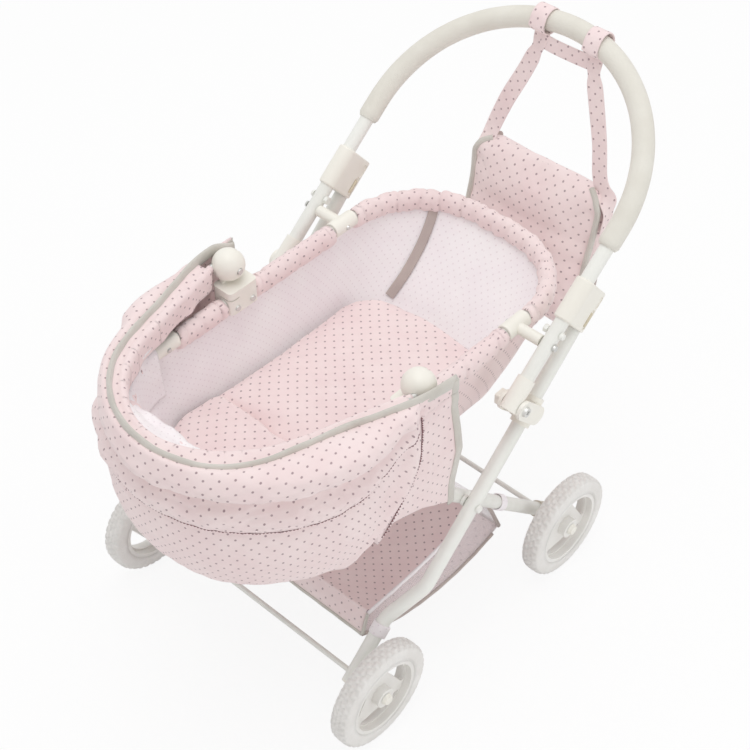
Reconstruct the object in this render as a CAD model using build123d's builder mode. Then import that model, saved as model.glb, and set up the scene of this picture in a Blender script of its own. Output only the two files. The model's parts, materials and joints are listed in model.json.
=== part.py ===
from build123d import *
import os
from math import cos, hypot, radians, sin, sqrt

os.makedirs("parts", exist_ok=True)

# Millimetres. The front faces -Y, +X is the pusher's left, +Z is up.
# The origin is on the floor under the middle of the whole stroller.
SIDES = {"left": 1, "right": -1}

# Fits
RUN = 0.05          # radial play of a turning or sliding fit
GAP = 0.4           # free space between faces that pass each other
SOFT_GAP = 0.5      # free space round a cloth piece

# Tubes and rods
TUBE_D = 16.0
TUBE_R = TUBE_D / 2
TUBE_WALL = 1.2
BORE_R = TUBE_R - TUBE_WALL
AXLE_D = 6.0
AXLE_R = AXLE_D / 2
FRAME_X = 168.0     # handle legs and front legs
REAR_LEG_X = 148.0  # rear legs, inside the front legs
LEG_END_X = 145.0   # foot of the front leg after its jog

# Wheels
WHEEL_R = 65.0
WHEEL_W = 23.0
WHEEL_X = 181.0
TYRE_T = 18.5
RIM_LIP = 4.5
WEB_T = 4.0
HUB_R = 12.0
FRONT_AXLE = (-193.5, WHEEL_R)
WHEELBASE = 319.0
REAR_AXLE = (FRONT_AXLE[0] + WHEELBASE, WHEEL_R)

# Push handle: straight legs rising to the rear, closed by a half circle
HANDLE_FOOT = (27.5, 330.0)
HANDLE_TILT = radians(39.5)
U_H = (cos(HANDLE_TILT), sin(HANDLE_TILT))
ARCH_S = 209.0      # where the half circle starts, measured up the leg
HANDLE_END_S = 9.0
GRIP_S = 187.0
GRIP_D = 24.0
STOP_S = 85.0
LOCK_S = 100.0
LOCK_LEN = 48.0
LOCK_R = 11.0
LOCK_TRAVEL = 24.0
LEG_GAP = 32.0      # handle axis to front leg axis at the middle of the lock
PIVOT_BACK = 8.0    # handle pivot behind the handle axis


def on_handle(s, back=0.0):
    y = HANDLE_FOOT[0] + s * U_H[0] + back * U_H[1]
    return (y, HANDLE_FOOT[1] + s * U_H[1] - back * U_H[0])


PIVOT = on_handle(0, PIVOT_BACK)

# Front leg: from the front axle up into the middle of the lock
LEG_AIM = on_handle(LOCK_S + LOCK_LEN / 2, LEG_GAP)
LEG_RUN = hypot(LEG_AIM[0] - FRONT_AXLE[0], LEG_AIM[1] - FRONT_AXLE[1])
U_A = ((LEG_AIM[0] - FRONT_AXLE[0]) / LEG_RUN, (LEG_AIM[1] - FRONT_AXLE[1]) / LEG_RUN)
LEG_TOP_S = LEG_RUN - 3
LEG_FOOT_S = -9.0
JOG_S = (70.0, 124.0)


def on_leg(s, ahead=0.0):
    y = FRONT_AXLE[0] + s * U_A[0] - ahead * U_A[1]
    return (y, FRONT_AXLE[1] + s * U_A[1] + ahead * U_A[0])


PIVOT_S = (PIVOT[0] - FRONT_AXLE[0]) * U_A[0] + (PIVOT[1] - FRONT_AXLE[1]) * U_A[1]
PIVOT_AHEAD = (PIVOT[1] - FRONT_AXLE[1]) * U_A[0] - (PIVOT[0] - FRONT_AXLE[0]) * U_A[1]

# Bassinet rim
RIM_Z = 375.0
RIM_X = 124.0
RIM_FRONT = -272.5
RIM_REAR = 201.5
RIM_FRONT_CORNER = 66.0
RIM_REAR_CORNER = 98.0
RIM_R = 6.0
TEE_R = 9.5
TEE_LEN = 34.0
STUB_R = 6.5
SLEEVE_R = 10.0
REAR_TEE = on_handle((RIM_Z - HANDLE_FOOT[1]) / U_H[1])
FRONT_TEE = (-185.5, RIM_Z)

# Rear leg: from the rear axle up to the front tee
REAR_RUN = hypot(FRONT_TEE[0] - REAR_AXLE[0], FRONT_TEE[1] - REAR_AXLE[1])
U_B = ((FRONT_TEE[0] - REAR_AXLE[0]) / REAR_RUN, (FRONT_TEE[1] - REAR_AXLE[1]) / REAR_RUN)


def on_rear(s):
    return (REAR_AXLE[0] + s * U_B[0], REAR_AXLE[1] + s * U_B[1])


REAR_TOP_S = REAR_RUN + 14
REAR_FOOT_S = -11.0
CROSS_DET = U_A[1] * U_B[0] - U_A[0] * U_B[1]
CROSS_S = ((REAR_AXLE[1] - FRONT_AXLE[1]) * U_B[0] - (REAR_AXLE[0] - FRONT_AXLE[0]) * U_B[1])
CROSS = on_leg(CROSS_S / CROSS_DET)


# Work planes
def out_plane(sx, x, p):
    """Faces outward from the middle, x from the middle plane, at (y, z)."""
    return Plane(origin=(sx * x, p[0], p[1]), z_dir=(sx, 0, 0))


def side_plane(x, u, p):
    """Local x runs along u, local y to the front and up; faces +X."""
    return Plane(origin=(x, p[0], p[1]), x_dir=(0, u[0], u[1]), z_dir=(1, 0, 0))


def cut_plane(x, u, p):
    """Square to a tube that runs along u; local y is to the back and down."""
    return Plane(origin=(x, p[0], p[1]), x_dir=(1, 0, 0), z_dir=(0, u[0], u[1]))


def flat_plane(u, p):
    """Holds the X axis (local x) and the direction u (local y)."""
    return Plane(origin=(0, p[0], p[1]), x_dir=(1, 0, 0), z_dir=(0, -u[1], u[0]))


HANDLE_PLANE = flat_plane(U_H, HANDLE_FOOT)
LEG_PLANE = flat_plane(U_A, FRONT_AXLE)

# Pins and screws
STOP_R = 2.5
TEE_PIN_R = 2.0
CROSS_PIN_R = 2.5
PIVOT_PIN_R = 3.0
TEE_SCREW_R = 3.0
KNOB_HEAD_R = 4.0


# Handle tube
with BuildPart() as handle_tube:
    with BuildLine(HANDLE_PLANE) as handle_path:
        Line((FRAME_X, HANDLE_END_S), (FRAME_X, ARCH_S))
        CenterArc((0, ARCH_S), FRAME_X, 0, 180)
        Line((-FRAME_X, ARCH_S), (-FRAME_X, HANDLE_END_S))
    with BuildSketch(cut_plane(FRAME_X, U_H, on_handle(HANDLE_END_S))):
        Circle(TUBE_R)
        Circle(BORE_R, mode=Mode.SUBTRACT)
    sweep()
    for sx in SIDES.values():
        with BuildSketch(out_plane(sx, FRAME_X - TUBE_D, on_handle(STOP_S))):
            Circle(STOP_R)
        with BuildSketch(out_plane(sx, FRAME_X - TUBE_D, REAR_TEE)):
            Circle(TEE_PIN_R + RUN)
        extrude(amount=2 * TUBE_D, mode=Mode.SUBTRACT)
handle_tube.part.label = "handle_tube"
export_step(handle_tube.part, "parts/handle_tube.step")

# Foam grip over the arch
with BuildPart() as handle_grip:
    with BuildLine(HANDLE_PLANE) as grip_path:
        Line((FRAME_X, GRIP_S), (FRAME_X, ARCH_S))
        CenterArc((0, ARCH_S), FRAME_X, 0, 180)
        Line((-FRAME_X, ARCH_S), (-FRAME_X, GRIP_S))
    with BuildSketch(cut_plane(FRAME_X, U_H, on_handle(GRIP_S))):
        Circle(GRIP_D / 2)
        Circle(TUBE_R, mode=Mode.SUBTRACT)
    sweep()
    grip_ends = handle_grip.faces().filter_by(GeomType.PLANE).edges()
    fillet(grip_ends.filter_by(lambda e: e.radius > TUBE_R + 1), 2.5)
handle_grip.part.label = "handle_grip"
export_step(handle_grip.part, "parts/handle_grip.step")

# Knuckles that close the feet of the handle and carry its pivots
KNUCKLE_R = 10.0
KNUCKLE_S = (-8.0, 30.0)
with BuildPart() as handle_knuckles:
    for sx in SIDES.values():
        with BuildSketch(cut_plane(sx * FRAME_X, U_H, on_handle(KNUCKLE_S[0]))):
            Circle(KNUCKLE_R)
        extrude(amount=KNUCKLE_S[1] - KNUCKLE_S[0])
        with BuildSketch(out_plane(sx, FRAME_X - KNUCKLE_R, PIVOT)):
            Circle(KNUCKLE_R - 1)
        extrude(amount=2 * KNUCKLE_R)
        with BuildSketch(cut_plane(sx * FRAME_X, U_H, on_handle(HANDLE_END_S))):
            Circle(TUBE_R)
        extrude(amount=KNUCKLE_S[1], mode=Mode.SUBTRACT)
        with BuildSketch(out_plane(sx, FRAME_X - 2 * KNUCKLE_R, PIVOT)):
            Circle(PIVOT_PIN_R + RUN)
        extrude(amount=4 * KNUCKLE_R, mode=Mode.SUBTRACT)
handle_knuckles.part.label = "handle_knuckles"
export_step(handle_knuckles.part, "parts/handle_knuckles.step")

# Lock collars: each slides on the handle and clips over the top of the leg behind it
CHANNEL_R = TUBE_R + GAP
for name, sx in SIDES.items():
    with BuildPart() as lock:
        with BuildSketch(cut_plane(sx * FRAME_X, U_H, on_handle(LOCK_S))):
            with Locations((0, 0), (0, LEG_GAP)):
                Circle(LOCK_R)
            make_hull()
        extrude(amount=LOCK_LEN)
        rims = lock.faces().filter_by(Plane(origin=(0, 0, 0), z_dir=(0, U_H[0], U_H[1])))
        fillet(rims.edges(), 2.2)
        with BuildSketch(cut_plane(sx * FRAME_X, U_H, on_handle(LOCK_S))):
            Circle(TUBE_R + RUN)
            with Locations((0, LEG_GAP + LOCK_R)):
                Rectangle(2 * CHANNEL_R, 2 * (LOCK_R + TUBE_R + 2.4))
        extrude(amount=LOCK_LEN, mode=Mode.SUBTRACT)
        for face in (-1, 1):
            with BuildSketch(side_plane(sx * FRAME_X + face * LOCK_R, U_H, on_handle(LOCK_S))):
                with Locations((15, 2 - LEG_GAP)):
                    SlotOverall(24, 7)
                with Locations((36, 1 - LEG_GAP)):
                    SlotOverall(14, 8)
            extrude(amount=-face * 1.2, mode=Mode.SUBTRACT)
    lock.part.label = "lock_" + name
    export_step(lock.part, "parts/lock_" + name + ".step")

# Stop bolts below the lock collars: pin, domed head outside, hexagon nut inside
with BuildPart() as stop_bolts:
    for sx in SIDES.values():
        with BuildSketch(out_plane(sx, FRAME_X - TUBE_R - 5, on_handle(STOP_S))):
            Circle(STOP_R)
        extrude(amount=TUBE_D + 8)
        with BuildSketch(out_plane(sx, FRAME_X - TUBE_R - 5, on_handle(STOP_S))):
            RegularPolygon(4.6, 6)
        extrude(amount=5)
        with BuildSketch(out_plane(sx, FRAME_X + TUBE_R, on_handle(STOP_S))):
            Circle(4.6)
        extrude(amount=3.6, taper=18)
stop_bolts.part.label = "stop_bolts"
export_step(stop_bolts.part, "parts/stop_bolts.step")

# Front legs: straight tube with a jog that brings the foot inside the wheel
for name, sx in SIDES.items():
    with BuildPart() as front_leg:
        with BuildLine(LEG_PLANE) as leg_path:
            Polyline(
                (sx * LEG_END_X, LEG_FOOT_S),
                (sx * LEG_END_X, JOG_S[0]),
                (sx * FRAME_X, JOG_S[1]),
                (sx * FRAME_X, LEG_TOP_S),
            )
            bends = leg_path.vertices().sort_by(Axis.Z)[1:3]
            fillet(bends, radius=40)
        with BuildSketch(cut_plane(sx * LEG_END_X, U_A, on_leg(LEG_FOOT_S))):
            Circle(TUBE_R)
            Circle(BORE_R, mode=Mode.SUBTRACT)
        sweep()
        with BuildSketch(out_plane(sx, LEG_END_X - TUBE_D, FRONT_AXLE)):
            Circle(AXLE_R)
        extrude(amount=2 * TUBE_D, mode=Mode.SUBTRACT)
        with BuildSketch(out_plane(sx, FRAME_X - TUBE_D, CROSS)):
            Circle(CROSS_PIN_R)
        extrude(amount=2 * TUBE_D, mode=Mode.SUBTRACT)
    front_leg.part.label = "front_leg_" + name
    export_step(front_leg.part, "parts/front_leg_" + name + ".step")

# Plugs in the open ends of the front legs
with BuildPart() as leg_plugs:
    for sx in SIDES.values():
        with BuildSketch(cut_plane(sx * FRAME_X, U_A, on_leg(LEG_TOP_S - 10))):
            Circle(BORE_R)
        extrude(amount=10)
        with BuildSketch(cut_plane(sx * FRAME_X, U_A, on_leg(LEG_TOP_S))):
            Circle(TUBE_R)
        extrude(amount=2.5, taper=30)
        with BuildSketch(cut_plane(sx * LEG_END_X, U_A, on_leg(LEG_FOOT_S - 2.5))):
            Circle(TUBE_R)
        extrude(amount=2.5)
leg_plugs.part.label = "leg_plugs"
export_step(leg_plugs.part, "parts/leg_plugs.step")

# Brackets on the front legs that carry the handle pivots
CHEEK_IN = KNUCKLE_R + GAP
CHEEK_T = 4.0
BRACKET_R = 11.0
WEB_AHEAD = PIVOT_AHEAD - hypot(PIVOT_BACK + KNUCKLE_R, -KNUCKLE_S[0]) - 1
with BuildPart() as leg_brackets:
    for sx in SIDES.values():
        with BuildSketch(cut_plane(sx * FRAME_X, U_A, on_leg(PIVOT_S - 17))):
            Circle(BRACKET_R)
        extrude(amount=34)
        with BuildSketch(side_plane(sx * FRAME_X, U_A, FRONT_AXLE)):
            with Locations((PIVOT_S, WEB_AHEAD / 2)):
                Rectangle(24, WEB_AHEAD)
        extrude(amount=CHEEK_IN, both=True)
        for x in (CHEEK_IN, -CHEEK_IN - CHEEK_T):
            with BuildSketch(side_plane(sx * FRAME_X + x, U_A, FRONT_AXLE)):
                with Locations((PIVOT_S, 0), (PIVOT_S, PIVOT_AHEAD)):
                    Circle(BRACKET_R)
                make_hull()
            extrude(amount=CHEEK_T)
        with BuildSketch(out_plane(sx, FRAME_X - CHEEK_IN - CHEEK_T - 7, PIVOT)):
            RectangleRounded(14, 14, 2)
        extrude(amount=7)
        with BuildSketch(cut_plane(sx * FRAME_X, U_A, on_leg(PIVOT_S - 30))):
            Circle(TUBE_R)
        extrude(amount=60, mode=Mode.SUBTRACT)
        with BuildSketch(out_plane(sx, FRAME_X - CHEEK_IN - CHEEK_T - 4, PIVOT)):
            Circle(PIVOT_PIN_R)
        extrude(amount=60, mode=Mode.SUBTRACT)
leg_brackets.part.label = "leg_brackets"
export_step(leg_brackets.part, "parts/leg_brackets.step")

# Bolts the handle turns on
with BuildPart() as handle_pivots:
    for sx in SIDES.values():
        with BuildSketch(out_plane(sx, FRAME_X - CHEEK_IN - CHEEK_T - 4, PIVOT)):
            Circle(PIVOT_PIN_R)
        extrude(amount=2 * (CHEEK_IN + CHEEK_T) + 4)
        with BuildSketch(out_plane(sx, FRAME_X + CHEEK_IN + CHEEK_T, PIVOT)):
            Circle(6)
        extrude(amount=3.2, taper=12)
        with BuildSketch(out_plane(sx, FRAME_X + CHEEK_IN + CHEEK_T + 3.2, PIVOT)):
            Rectangle(6, 1.2)
            Rectangle(1.2, 6)
        extrude(amount=-1.2, mode=Mode.SUBTRACT)
handle_pivots.part.label = "handle_pivots"
export_step(handle_pivots.part, "parts/handle_pivots.step")

# Rear legs
for name, sx in SIDES.items():
    with BuildPart() as rear_leg:
        with BuildSketch(cut_plane(sx * REAR_LEG_X, U_B, on_rear(REAR_FOOT_S))):
            Circle(TUBE_R)
            Circle(BORE_R, mode=Mode.SUBTRACT)
        extrude(amount=REAR_TOP_S - REAR_FOOT_S)
        with BuildSketch(out_plane(sx, REAR_LEG_X - TUBE_D, REAR_AXLE)):
            Circle(AXLE_R)
        with BuildSketch(out_plane(sx, REAR_LEG_X - TUBE_D, CROSS)):
            Circle(CROSS_PIN_R + RUN)
        with BuildSketch(out_plane(sx, REAR_LEG_X - TUBE_D, FRONT_TEE)):
            Circle(TEE_PIN_R)
        extrude(amount=2 * TUBE_D, mode=Mode.SUBTRACT)
    rear_leg.part.label = "rear_leg_" + name
    export_step(rear_leg.part, "parts/rear_leg_" + name + ".step")

# End caps: sleeves at the feet of the rear legs, domed plugs at their tops
CAP_R = 9.8
with BuildPart() as rear_leg_caps:
    for sx in SIDES.values():
        with BuildSketch(cut_plane(sx * REAR_LEG_X, U_B, on_rear(REAR_FOOT_S - 2.5))):
            Circle(CAP_R)
        extrude(amount=27)
        with BuildSketch(cut_plane(sx * REAR_LEG_X, U_B, on_rear(REAR_FOOT_S))):
            Circle(TUBE_R)
        extrude(amount=30, mode=Mode.SUBTRACT)
        with BuildSketch(out_plane(sx, REAR_LEG_X - TUBE_D, REAR_AXLE)):
            Circle(AXLE_R)
        extrude(amount=2 * TUBE_D, mode=Mode.SUBTRACT)
        with BuildSketch(cut_plane(sx * REAR_LEG_X, U_B, on_rear(REAR_TOP_S))):
            Circle(TUBE_R)
        extrude(amount=3, taper=30)
rear_leg_caps.part.label = "rear_leg_caps"
export_step(rear_leg_caps.part, "parts/rear_leg_caps.step")

# Rivets where the legs cross, with a shoulder that keeps the tubes apart
SHOULDER = FRAME_X - REAR_LEG_X - TUBE_D
with BuildPart() as cross_rivets:
    for sx in SIDES.values():
        with BuildSketch(out_plane(sx, REAR_LEG_X - TUBE_R - GAP, CROSS)):
            Circle(CROSS_PIN_R)
        extrude(amount=FRAME_X - REAR_LEG_X + TUBE_D + GAP)
        with BuildSketch(out_plane(sx, REAR_LEG_X - TUBE_R - GAP - 2.5, CROSS)):
            Circle(5)
        extrude(amount=2.5)
        with BuildSketch(out_plane(sx, REAR_LEG_X + TUBE_R + GAP, CROSS)):
            Circle(6.5)
        extrude(amount=SHOULDER - GAP)
        with BuildSketch(out_plane(sx, FRAME_X + TUBE_R, CROSS)):
            Circle(5)
        extrude(amount=2.8, taper=20)
cross_rivets.part.label = "cross_rivets"
export_step(cross_rivets.part, "parts/cross_rivets.step")

# Axles, spacers and push-on caps
AXLE_END = WHEEL_X + WHEEL_W / 2 + 3
SETS = {"front": (FRONT_AXLE, LEG_END_X + TUBE_R), "rear": (REAR_AXLE, REAR_LEG_X + CAP_R)}
for name, (spot, inner) in SETS.items():
    with BuildPart() as axle:
        with BuildSketch(Plane(origin=(0, spot[0], spot[1]), z_dir=(1, 0, 0))):
            Circle(AXLE_R)
        extrude(amount=AXLE_END, both=True)
    axle.part.label = name + "_axle"
    export_step(axle.part, "parts/" + name + "_axle.step")
    with BuildPart() as spacers:
        for sx in SIDES.values():
            with BuildSketch(out_plane(sx, inner, spot)):
                Circle(6)
                Circle(AXLE_R, mode=Mode.SUBTRACT)
            extrude(amount=WHEEL_X - WHEEL_W / 2 - GAP - inner)
    spacers.part.label = name + "_spacers"
    export_step(spacers.part, "parts/" + name + "_spacers.step")
    with BuildPart() as caps:
        for sx in SIDES.values():
            with BuildSketch(out_plane(sx, WHEEL_X + WHEEL_W / 2 + GAP, spot)):
                Circle(7)
            extrude(amount=4.5, taper=20)
            with BuildSketch(out_plane(sx, WHEEL_X, spot)):
                Circle(AXLE_R)
            extrude(amount=AXLE_END - WHEEL_X, mode=Mode.SUBTRACT)
    caps.part.label = name + "_caps"
    export_step(caps.part, "parts/" + name + "_caps.step")

# Wheels: hub with a recessed three-cornered plate, foam tyre round it
HUB_RIM_R = WHEEL_R - TYRE_T
WINDOW_R = HUB_RIM_R - RIM_LIP - 2
for row, (spot, inner) in SETS.items():
    for name, sx in SIDES.items():
        turn = Axis((0, spot[0], spot[1]), (1, 0, 0))
        across = Plane(origin=(sx * WHEEL_X, spot[0], spot[1]), x_dir=(sx, 0, 0), z_dir=(0, -sx, 0))
        with BuildPart() as hub:
            with BuildSketch(across):
                with Locations((0, HUB_RIM_R - RIM_LIP / 2)):
                    Rectangle(WHEEL_W - 2, RIM_LIP)
                with Locations((0, (HUB_RIM_R - 1) / 2)):
                    Rectangle(WEB_T, HUB_RIM_R - 1)
                with Locations((0, HUB_R / 2)):
                    Rectangle(WHEEL_W, HUB_R)
                with Locations((0, AXLE_R / 2)):
                    Rectangle(2 * WHEEL_W, AXLE_R + 2 * RUN, mode=Mode.SUBTRACT)
            revolve(axis=turn)
            with BuildSketch(out_plane(sx, WHEEL_X - WEB_T, spot)) as windows:
                Circle(WINDOW_R)
                RegularPolygon(HUB_RIM_R, 3, mode=Mode.SUBTRACT)
                fillet(windows.vertices(), 2.5)
            extrude(amount=2 * WEB_T, mode=Mode.SUBTRACT)
        label = "hub_" + row + "_" + name
        hub.part.label = label
        export_step(hub.part, "parts/" + label + ".step")
        with BuildPart() as tyre:
            with BuildSketch(across):
                with Locations((0, WHEEL_R - TYRE_T / 2)):
                    section = Rectangle(WHEEL_W, TYRE_T)
                crown = section.vertices().sort_by_distance((sx * WHEEL_X, spot[0], spot[1]))[2:4]
                fillet(crown, 5)
                with Locations((0, WHEEL_R)):
                    Rectangle(2.4, 1.6, mode=Mode.SUBTRACT)
            revolve(axis=turn)
        label = "tyre_" + row + "_" + name
        tyre.part.label = label
        export_step(tyre.part, "parts/" + label + ".step")

# Rim tube of the bassinet
with BuildPart() as rim_tube:
    with BuildLine(Plane.XY.offset(RIM_Z)) as rim_path:
        Polyline(
            (0, RIM_FRONT), (RIM_X, RIM_FRONT), (RIM_X, RIM_REAR), (-RIM_X, RIM_REAR),
            (-RIM_X, RIM_FRONT), (0, RIM_FRONT),
        )
        fillet(rim_path.vertices().group_by(Axis.Y)[-1], RIM_REAR_CORNER)
        front_corners = rim_path.vertices().group_by(Axis.Y)[0]
        fillet(front_corners.filter_by(lambda v: abs(v.X) > RIM_X / 2), RIM_FRONT_CORNER)
    with BuildSketch(Plane(origin=(0, RIM_FRONT, RIM_Z), z_dir=(1, 0, 0))):
        Circle(RIM_R)
    sweep()
rim_tube.part.label = "rim_tube"
export_step(rim_tube.part, "parts/rim_tube.step")

# Tee connectors: a sleeve on the rim with a stub that reaches the frame
TEES = {
    "rear": (REAR_TEE, FRAME_X - TUBE_R - GAP),
    "front": (FRONT_TEE, REAR_LEG_X - TUBE_R - GAP),
}
for name, (spot, reach) in TEES.items():
    with BuildPart() as tee:
        for sx in SIDES.values():
            with BuildSketch(Plane(origin=(sx * RIM_X, spot[0] - TEE_LEN / 2, spot[1]), z_dir=(0, 1, 0))):
                Circle(TEE_R)
            extrude(amount=TEE_LEN)
            with BuildSketch(out_plane(sx, RIM_X, spot)):
                Circle(STUB_R)
            extrude(amount=reach - RIM_X)
            with BuildSketch(Plane(origin=(sx * RIM_X, spot[0] - TEE_LEN, spot[1]), z_dir=(0, 1, 0))):
                Circle(RIM_R)
            extrude(amount=2 * TEE_LEN, mode=Mode.SUBTRACT)
            with BuildSketch(out_plane(-sx, TEE_R - RIM_X - 1, spot)):
                Circle(TEE_SCREW_R)
            extrude(amount=3, mode=Mode.SUBTRACT)
            if name == "rear":
                with BuildSketch(out_plane(sx, reach - 10, spot)):
                    Circle(TEE_PIN_R)
                extrude(amount=11, mode=Mode.SUBTRACT)
        rings = tee.edges().filter_by(GeomType.CIRCLE).filter_by(lambda e: abs(e.radius - TEE_R) < 0.01)
        fillet(rings.filter_by(lambda e: e.is_closed), 1.5)
    tee.part.label = name + "_tees"
    export_step(tee.part, "parts/" + name + "_tees.step")

# Small screws that pin each tee to the rim, heads on the inside
with BuildPart() as tee_screws:
    for sx in SIDES.values():
        for spot, reach in TEES.values():
            with BuildSketch(out_plane(-sx, TEE_R - RIM_X - 1, spot)):
                Circle(TEE_SCREW_R)
            extrude(amount=2.4, taper=15)
tee_screws.part.label = "tee_screws"
export_step(tee_screws.part, "parts/tee_screws.step")

# Pivot screws: the rear pair turns in the handle, the front pair sits in the rear legs
with BuildPart() as rear_tee_pins:
    for sx in SIDES.values():
        with BuildSketch(out_plane(sx, FRAME_X - TUBE_R - GAP - 10, REAR_TEE)):
            Circle(TEE_PIN_R)
        extrude(amount=TUBE_D + 2 * GAP + 10)
        with BuildSketch(out_plane(sx, FRAME_X + TUBE_R + GAP, REAR_TEE)):
            Circle(4.2)
        extrude(amount=2.5, taper=15)
rear_tee_pins.part.label = "rear_tee_pins"
export_step(rear_tee_pins.part, "parts/rear_tee_pins.step")

with BuildPart() as front_tee_pins:
    for sx in SIDES.values():
        with BuildSketch(out_plane(sx, REAR_LEG_X - TUBE_R, FRONT_TEE)):
            Circle(TEE_PIN_R)
        extrude(amount=TUBE_D)
        with BuildSketch(out_plane(sx, REAR_LEG_X + TUBE_R, FRONT_TEE)):
            Circle(4)
        extrude(amount=1.8, taper=15)
front_tee_pins.part.label = "front_tee_pins"
export_step(front_tee_pins.part, "parts/front_tee_pins.step")

# Cloth sleeves gathered on the rim between the tees
HALF_TEE = TEE_LEN / 2 + SOFT_GAP
CLAMP_Y = -79.5
CLAMP_LEN = 40.0
ENDS = {
    "rear": (REAR_TEE[0] + HALF_TEE, RIM_REAR, RIM_REAR_CORNER),
    "front": (FRONT_TEE[0] - HALF_TEE, RIM_FRONT, RIM_FRONT_CORNER),
}
for name, (start, far, corner) in ENDS.items():
    with BuildPart() as sleeve:
        with BuildLine(Plane.XY.offset(RIM_Z)) as sleeve_path:
            Polyline((RIM_X, start), (RIM_X, far), (-RIM_X, far), (-RIM_X, start))
            fillet(sleeve_path.vertices().filter_by(lambda v: abs(v.Y - far) < 1), corner)
        with BuildSketch(Plane(origin=(RIM_X, start, RIM_Z), z_dir=(0, 1, 0))):
            Circle(SLEEVE_R)
            Circle(RIM_R, mode=Mode.SUBTRACT)
        sweep()
    sleeve.part.label = "rim_sleeve_" + name
    export_step(sleeve.part, "parts/rim_sleeve_" + name + ".step")
SPANS = (
    (FRONT_TEE[0] + HALF_TEE, CLAMP_Y - CLAMP_LEN / 2 - SOFT_GAP),
    (CLAMP_Y + CLAMP_LEN / 2 + SOFT_GAP, REAR_TEE[0] - HALF_TEE),
)
with BuildPart() as rim_sleeve_sides:
    for sx in SIDES.values():
        for start, end in SPANS:
            with BuildSketch(Plane(origin=(sx * RIM_X, start, RIM_Z), z_dir=(0, 1, 0))):
                Circle(SLEEVE_R)
                Circle(RIM_R, mode=Mode.SUBTRACT)
            extrude(amount=end - start)
rim_sleeve_sides.part.label = "rim_sleeve_sides"
export_step(rim_sleeve_sides.part, "parts/rim_sleeve_sides.step")

# Cloth tub of the bassinet, hung under the sleeves; its rear wall slopes in
TUB_T = 3.0
TUB_TOP = RIM_Z - SLEEVE_R - SOFT_GAP
TUB_FLOOR = 268.0
TUB_TOP_X = RIM_X + 3
TUB_TOP_Y = (RIM_FRONT - 3, RIM_REAR + 3)
TUB_LOW_X = 104.0
TUB_LOW_Y = (-242.0, 106.0)
TUB_LOW_CORNER = 62.0


TUB_LEVELS = (
    (TUB_FLOOR, TUB_LOW_X, TUB_LOW_Y, TUB_LOW_CORNER, TUB_LOW_CORNER),
    (TUB_TOP, TUB_TOP_X, TUB_TOP_Y, RIM_FRONT_CORNER + 3, RIM_REAR_CORNER + 3),
)
with BuildPart() as bassinet_tub:
    for inset, how in ((0, Mode.ADD), (TUB_T, Mode.SUBTRACT)):
        for z, half_x, ends, front_corner, rear_corner in TUB_LEVELS:
            lift = inset if z == TUB_FLOOR else 0
            with BuildSketch(Plane.XY.offset(z + lift)) as level:
                with Locations((0, (ends[0] + ends[1]) / 2)):
                    Rectangle(2 * (half_x - inset), ends[1] - ends[0] - 2 * inset)
                fillet(level.vertices().group_by(Axis.Y)[-1], rear_corner - inset)
                fillet(level.vertices().group_by(Axis.Y)[0], front_corner - inset)
        loft(mode=how)
bassinet_tub.part.label = "bassinet_tub"
export_step(bassinet_tub.part, "parts/bassinet_tub.step")

# Stiff board on the floor of the tub
BOARD_T = 3.0
BOARD_Z = TUB_FLOOR + TUB_T + 0.2
BED_X = TUB_LOW_X - TUB_T - 4
BED_Y = (TUB_LOW_Y[0] + TUB_T + 4, TUB_LOW_Y[1] - TUB_T - 4)
BED_MID = (BED_Y[0] + BED_Y[1]) / 2
BED_LEN = BED_Y[1] - BED_Y[0]
BED_CORNER = 52.0
with BuildPart() as base_board:
    with BuildSketch(Plane.XY.offset(BOARD_Z)):
        with Locations((0, BED_MID)):
            RectangleRounded(2 * BED_X, BED_LEN, BED_CORNER)
    extrude(amount=BOARD_T)
base_board.part.label = "base_board"
export_step(base_board.part, "parts/base_board.step")

# Mattress: crowned across, sides drawn in, one sewn channel across it
MAT_Z = BOARD_Z + BOARD_T + SOFT_GAP
MAT_T = 15.0
MAT_CROWN = 5.0
PILLOW_LEN = 92.0
MAT_Y = (BED_Y[0] + PILLOW_LEN + 1, BED_Y[1])
with BuildPart() as mattress:
    with BuildSketch(Plane(origin=(0, BED_Y[1], MAT_Z), x_dir=(1, 0, 0), z_dir=(0, -1, 0))) as mat_end:
        with BuildLine():
            Line((-BED_X + 3, 0), (BED_X - 3, 0))
            ThreePointArc((BED_X - 3, 0), (BED_X + 1.5, MAT_T / 2), (BED_X - 3, MAT_T))
            ThreePointArc((BED_X - 3, MAT_T), (0, MAT_T + MAT_CROWN), (-BED_X + 3, MAT_T))
            ThreePointArc((-BED_X + 3, MAT_T), (-BED_X - 1.5, MAT_T / 2), (-BED_X + 3, 0))
        make_face()
    extrude(amount=BED_LEN)
    with BuildSketch(Plane.XY.offset(MAT_Z - 1)):
        with Locations((0, BED_MID)):
            RectangleRounded(2 * BED_X + 2, BED_LEN, BED_CORNER)
    extrude(amount=2 * MAT_T + MAT_CROWN, mode=Mode.INTERSECT)
    with BuildSketch(Plane.XY.offset(MAT_Z - 1)):
        with Locations((0, BED_Y[0] + PILLOW_LEN / 2 + 0.5)):
            Rectangle(4 * BED_X, PILLOW_LEN + 1)
    extrude(amount=2 * MAT_T + MAT_CROWN, mode=Mode.SUBTRACT)
    with BuildSketch(Plane(origin=(-2 * BED_X, MAT_Y[0] + 96, MAT_Z + MAT_T + MAT_CROWN + 3), z_dir=(1, 0, 0))):
        Circle(8)
    extrude(amount=4 * BED_X, mode=Mode.SUBTRACT)
mattress.part.label = "mattress"
export_step(mattress.part, "parts/mattress.step")

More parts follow.
